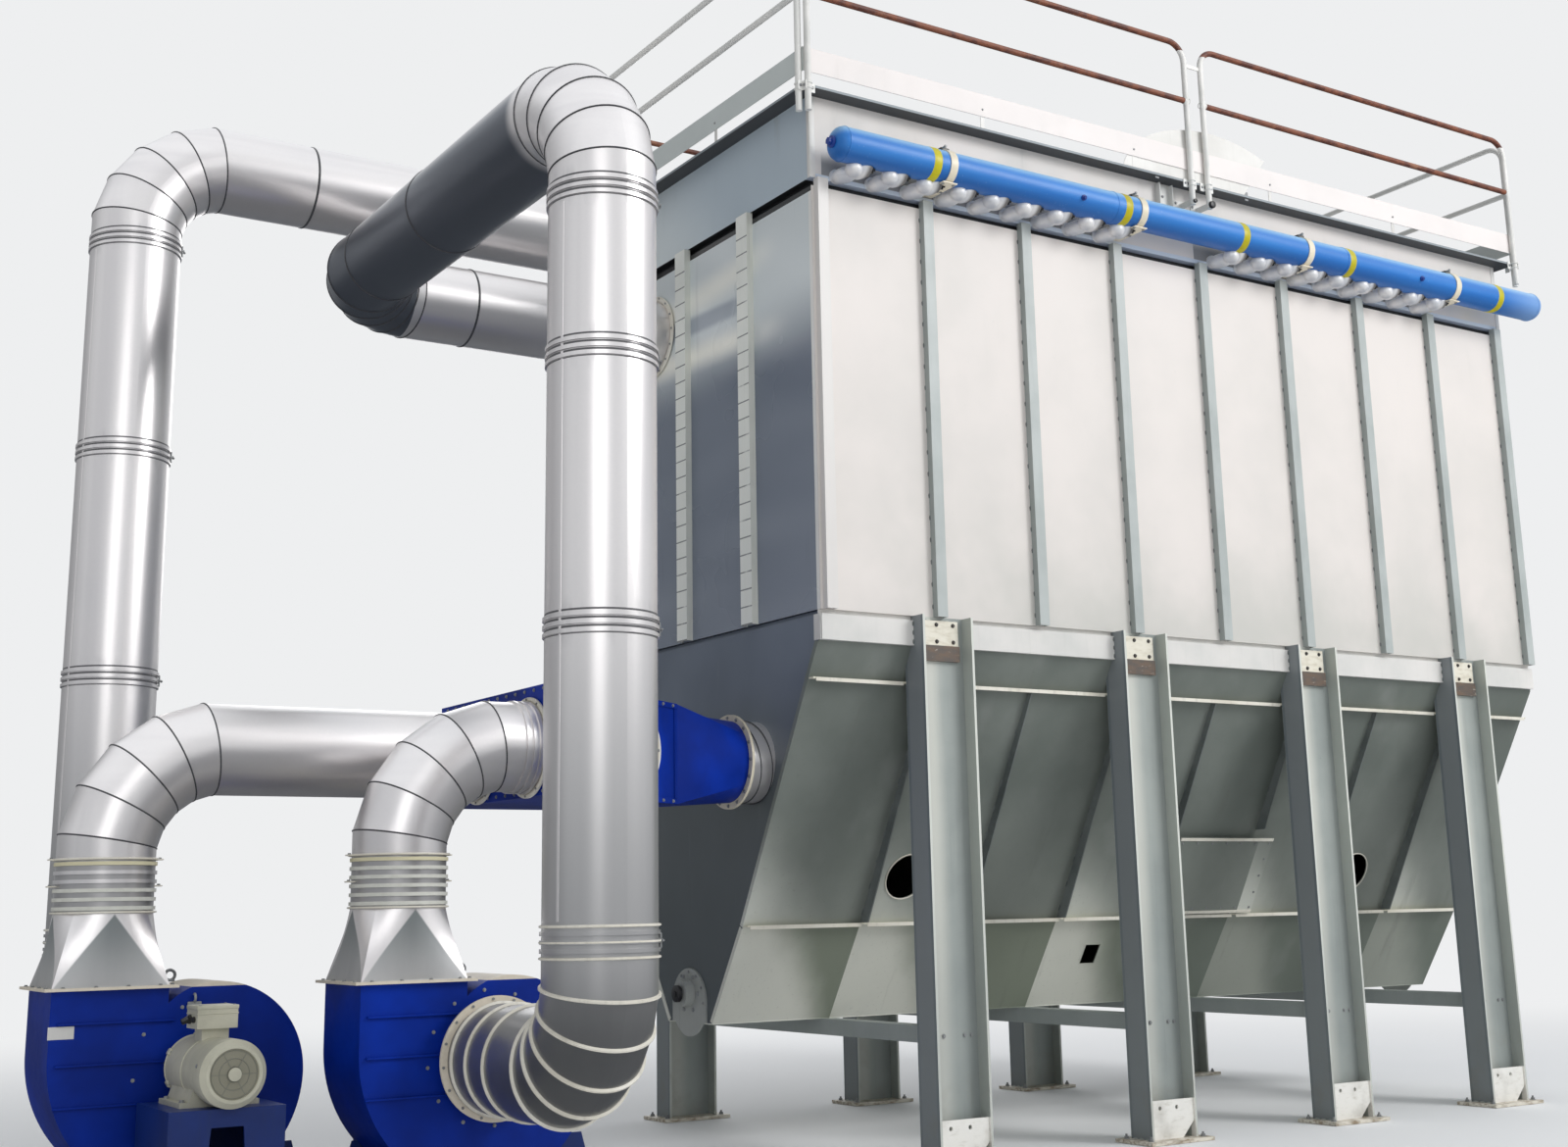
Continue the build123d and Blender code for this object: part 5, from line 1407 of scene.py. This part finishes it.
def header_fittings():
    """Bolts along the header's edges, its cover's rings and the flange's bolts."""
    bolts = bmesh.new()
    rings = bmesh.new()
    edges = bmesh.new()
    start = Vector((header_face, -0.407, header_z))
    end = Vector((-1.51, 0.308, header_z))
    run = end - start
    out = Vector((run.y, -run.x, 0)).normalized()
    for s in both_ways:
        line = Vector((0, 0, s * 0.246))
        bar(edges, (start + end) / 2 + line, out, run, (run.length - 0.01, 0.028, 0.006), 0.001)
        for k in range(11):
            bolt(bolts, start + run * ((k + 0.5) / 11) + line + out * 0.006, out, 0.008)
        upright = start if s < 0 else end
        bar(edges, upright + run.normalized() * -s * 0.02, out, up, (0.46, 0.028, 0.006), 0.001)
    cover = start + run * 0.68 + out * 0.0185
    for radius, wire in ((0.166, 0.007), (0.128, 0.005)):
        hoop(rings, cover, out, radius, wire, 64, 8)
    bolt_ring(bolts, cover, out, 0.148, 8, 0.008)
    for s in both_ways:
        bar(rings, cover + run.normalized() * s * 0.035, out, up,
            (0.018, 0.014, 0.03), 0.002)
    disc(rings, cover + run.normalized() * -0.045 + out * 0.03, run.normalized(), 0.008, 0.09, 12,
         0.002)
    bolt_ring(bolts, (-0.959, inlet_duct_y, header_z), to_left, 0.2425, 16, 0.009)
    for y in [-0.36 + 0.105 * k for k in range(13)]:
        for s in both_ways:
            bolt(bolts, (header_face, y, header_z + s * 0.24), to_left, 0.008)
    piece("header_bolts", bolts, bolt_steel)
    piece("header_cover_rings", rings, white_part)
    piece("header_edge_strips", edges, blue_part)


# Fittings on the fans

def fan_fittings():
    """Inlet bolts, label plate, lifting eyes, motor bolts, grille, gland and anchor nuts."""
    bolts = bmesh.new()
    plates = bmesh.new()
    strips = bmesh.new()
    grilles = bmesh.new()
    glands = bmesh.new()
    anchors = bmesh.new()
    lids = bmesh.new()
    for fan in fans.values():
        x, way = fan["x"], fan["inlet"]
        inlet_y = fan["front"] if way < 0 else fan["back"]
        motor_y = fan["back"] if way < 0 else fan["front"]
        inlet_out = Vector((0, way, 0))
        motor_out = -inlet_out
        bolt_ring(bolts, (x, inlet_y, fan_z), inlet_out, 0.29, 12, 0.0075, 0.1)
        bolt_ring(bolts, (x, inlet_y + way * 0.078, fan_z), motor_out, 0.252, 16, 0.007, 0.1,
                  washer=False)
        bolt_ring(bolts, (x, inlet_y + way * 0.0902, fan_z), inlet_out, 0.254, 16, 0.0075, 0.1,
                  washer=False)
        bolt_ring(bolts, (x, motor_y, fan_z), motor_out, 0.25, 8, 0.0075, 0.2)
        motor_at = Vector((x, motor_y, fan_z))
        bell = motor_at + motor_out * 0.078
        for k in range(6):
            away = spoke(30 + 60 * k)
            spot = bell + away * 0.118
            bar(lids, spot, away, motor_out, (0.034, 0.03, 0.022), 0.004)
            bolt(bolts, spot + motor_out * 0.017 + away * 0.012, motor_out, 0.007, washer=False)
        for along in (0.055, 0.30, 0.505):
            hoop(lids, motor_at + motor_out * (0.07 + along - 0.055), motor_out, 0.131, 0.004, 56, 8,
                 flat=1.8)
        fan_end = motor_at + motor_out * 0.6345
        for r in (0.03, 0.062, 0.094):
            hoop(grilles, fan_end, motor_out, r, 0.0018, 48, 6)
        for k in range(6):
            away = spoke(60 * k)
            bar(grilles, fan_end + away * 0.058 - motor_out * 0.001, motor_out, away,
                (0.07, 0.003, 0.002))
        disc(grilles, fan_end + motor_out * 0.004, motor_out, 0.014, 0.006, 20, 0.002)
        for turn in (45, 165, 285):
            disc(bolts, motor_at + motor_out * 0.56 + spoke(turn) * 0.137, spoke(turn), 0.008,
                 0.004, 12, 0.001)
        box_y = motor_y + motor_out.y * 0.29
        box_top = fan_z + 0.131 + 0.12
        bar(lids, (x, box_y, box_top - 0.004), up, to_right, (0.176, 0.166, 0.016), 0.003, 2)
        bar(lids, (x, box_y, box_top - 0.024), up, to_right, (0.175, 0.165, 0.005), 0.001)
        for s in both_ways:
            for t in both_ways:
                disc(bolts, (x + s * 0.072, box_y + t * 0.067, box_top + 0.012), up, 0.006,
                     0.003, 12, 0.001)
                foot = (x + s * 0.145, box_y + t * 0.12, fan_z - 0.137 + 0.02)
                bolt(bolts, foot, up, 0.012)
        disc(glands, (x - 0.085, box_y + 0.02, box_top - 0.045), to_left, 0.019, 0.012, 6)
        disc(glands, (x - 0.097, box_y + 0.02, box_top - 0.045), (-1, 0, -0.4), 0.015, 0.03, 20,
             0.004, top=0.012)
        disc(glands, (x - 0.085, box_y - 0.04, box_top - 0.045), to_left, 0.013, 0.01, 6)
        eye = Vector((x, (fan["front"] + fan["back"]) / 2, fan_z + 0.35))
        rings_at = Vector((x, motor_y - way * 0.004, fan_z + 0.268))
        hoop(anchors, rings_at + up * 0.014, to_right, 0.017, 0.006, 24, 8)
        bar(anchors, rings_at - Vector((0, 0, 0.012)), motor_out, to_right, (0.06, 0.022, 0.008),
            0.002)
        disc(anchors, eye - Vector((0.05, 0, 0.002)), up, 0.022, 0.008, 20, 0.002)
        hoop(anchors, eye + Vector((-0.05, 0, 0.026)), to_back, 0.022, 0.007, 28, 8)
        low = min(fan["front"], motor_y + motor_out.y * 0.575)
        high = max(fan["back"], motor_y + motor_out.y * 0.575)
        for s in both_ways:
            for y in (low + 0.05, (low + high) / 2, high - 0.05):
                stud(anchors, (x + s * 0.505, y, 0.09), 0.014)
        face = fan["front"]
        for z in (0.19, 0.02, -0.15):
            bar(strips, (x - 0.325, face - 0.0142, fan_z + z + 0.004), to_front, to_right,
                (0.486, 0.0075, 0.0012), 0.0004)
            for end in (-0.56, -0.09):
                weld(strips, (x + end, face - 0.006, fan_z + z), (0, -1, -1), to_back, 0.014)
    front = fans["left"]["front"]
    label = Vector((-4.5215, front, 0.875))
    bar(plates, label, to_front, to_right, (0.107, 0.052, 0.0015), 0.0003)
    for s in both_ways:
        disc(plates, label + Vector((s * 0.047, -0.0015, 0)), to_front, 0.003, 0.0015, 10)
    piece("fan_label_plate", plates, white_part)
    piece("fan_bolts", bolts, bolt_steel)
    piece("fan_face_strips", strips, blue_part)
    piece("motor_grilles", grilles, grille_steel)
    piece("cable_glands", glands, black_part)
    piece("fan_anchor_nuts", anchors, bolt_steel)
    piece("motor_lids", lids, motor_paint)


casing_welds()
beam_corners()
leg_bolts()
arched_plate()
rail_fittings()
manifold_fittings()
valve_fittings()
port_rims()
lip_edges()
end_strips()
hatch_and_screw()
rib_welds()
duct_rings()
header_fittings()
fan_fittings()


# Stage

def studio():
    """Pale floor, soft daylight and the camera."""
    scene = bpy.context.scene
    floor_mesh = bmesh.new()
    bmesh.ops.create_circle(floor_mesh, cap_ends=True, segments=96, radius=90.0,
                            matrix=Matrix.Translation((1.0, 1.0, -0.002)))
    data = bpy.data.meshes.new("floor")
    floor_mesh.to_mesh(data)
    floor_mesh.free()
    floor = bpy.data.objects.new("floor", data)
    scene.collection.objects.link(floor)
    pale = srgb(238, 239, 240)
    ground = Finish("studio_floor")
    x, y = ground.axes("xy")
    away = ((x - 1.0) * (x - 1.0) + (y - 1.0) * (y - 1.0)).math("SQRT")
    ground_rays = ground.tree.nodes.new("ShaderNodeLightPath")
    mirrored = Value(ground, ground_rays.outputs["Is Glossy Ray"])
    worn = ground.mix(ground.cloud(0.6, 3.0), srgb(244, 245, 246), srgb(248, 248, 249))
    ground.set(Base_Color=ground.mix(mirrored, worn, srgb(108, 111, 115)), Roughness=0.85)
    glow = ground.node("ShaderNodeEmission", {},
                       {"Color": ground.mix(mirrored, pale, srgb(78, 84, 92)), "Strength": 1.0})
    blend = ground.tree.nodes.new("ShaderNodeMixShader")
    ground.feed(blend.inputs[0], away.rise(4.5, 15.0))
    ground.tree.links.new(ground.shader.outputs[0], blend.inputs[1])
    ground.tree.links.new(glow.socket, blend.inputs[2])
    surface = ground.tree.nodes["Material Output"].inputs["Surface"]
    ground.tree.links.new(blend.outputs[0], surface)
    data.materials.append(ground.material)

    world = bpy.data.worlds.new("studio_sky")
    scene.world = world
    world.use_nodes = True
    sky = Finish("studio_sky", world.node_tree)
    direction = sky.node("ShaderNodeTexCoord", output="Generated")
    lit = sky.node("ShaderNodeVectorMath", {"operation": "DOT_PRODUCT"},
                   {0: direction, 1: (0.45, -0.72, 0.53)}, output="Value")
    level = sky.node("ShaderNodeMapRange", {"interpolation_type": "SMOOTHSTEP"},
                     {0: lit, 1: -0.6, 2: 0.75, 3: 0.14, 4: 0.95})
    open_side = sky.node("ShaderNodeVectorMath", {"operation": "DOT_PRODUCT"},
                         {0: direction, 1: (0.0, -0.8, 0.6)}, output="Value")
    split = sky.tree.nodes.new("ShaderNodeSeparateXYZ")
    sky.feed(split.inputs[0], direction)
    overhead = Value(sky, split.outputs[2]).rise(0.32, 0.72)
    mirror_level = (open_side.rise(-0.7, 0.1) * 0.42).both(overhead * 0.8) + 0.34
    rays = sky.tree.nodes.new("ShaderNodeLightPath")
    seen = Value(sky, rays.outputs["Is Camera Ray"])
    shine = Value(sky, rays.outputs["Is Glossy Ray"])
    strength = mirror_level * shine + level * 0.72 * (1 - shine)
    strength = strength * (1 - seen) + seen
    tint = sky.mix(seen, (0.94, 0.97, 1.0, 1.0), pale)
    background = world.node_tree.nodes["Background"]
    sky.feed(background.inputs["Color"], tint)
    sky.feed(background.inputs["Strength"], strength)

    for name, at, aim, size, power in (
            ("key", (9.0, -12.0, 11.0), (2.0, 0.0, 3.0), 7.0, 1150.0),
            ("fill", (-9.0, -12.0, 6.0), (-1.0, 0.0, 2.5), 7.0, 170.0),
            ("back fill", (5.0, 15.0, 9.0), (1.0, 2.0, 2.0), 9.0, 420.0)):
        lamp = bpy.data.lights.new(name, "AREA")
        lamp.shape = "DISK"
        lamp.size = size
        lamp.energy = power
        lamp.specular_factor = 0.25
        holder = bpy.data.objects.new(name, lamp)
        look = Vector(aim) - Vector(at)
        holder.matrix_world = (Matrix.Translation(at)
                               @ look.to_track_quat("-Z", "Y").to_matrix().to_4x4())
        scene.collection.objects.link(holder)

    lens = bpy.data.cameras.new("camera")
    lens.sensor_width = 36.0
    lens.lens = 43.27
    lens.shift_y = -0.057
    lens.clip_end = 300.0
    camera = bpy.data.objects.new("camera", lens)
    camera.matrix_world = Matrix((
        (0.8437, -0.10191, -0.52705, -6.37),
        (-0.5365, -0.19315, -0.8215, -8.353),
        (-0.01808, 0.97586, -0.21764, 1.349),
        (0.0, 0.0, 0.0, 1.0)))
    scene.collection.objects.link(camera)
    scene.camera = camera
    scene.view_settings.view_transform = "Standard"


studio()
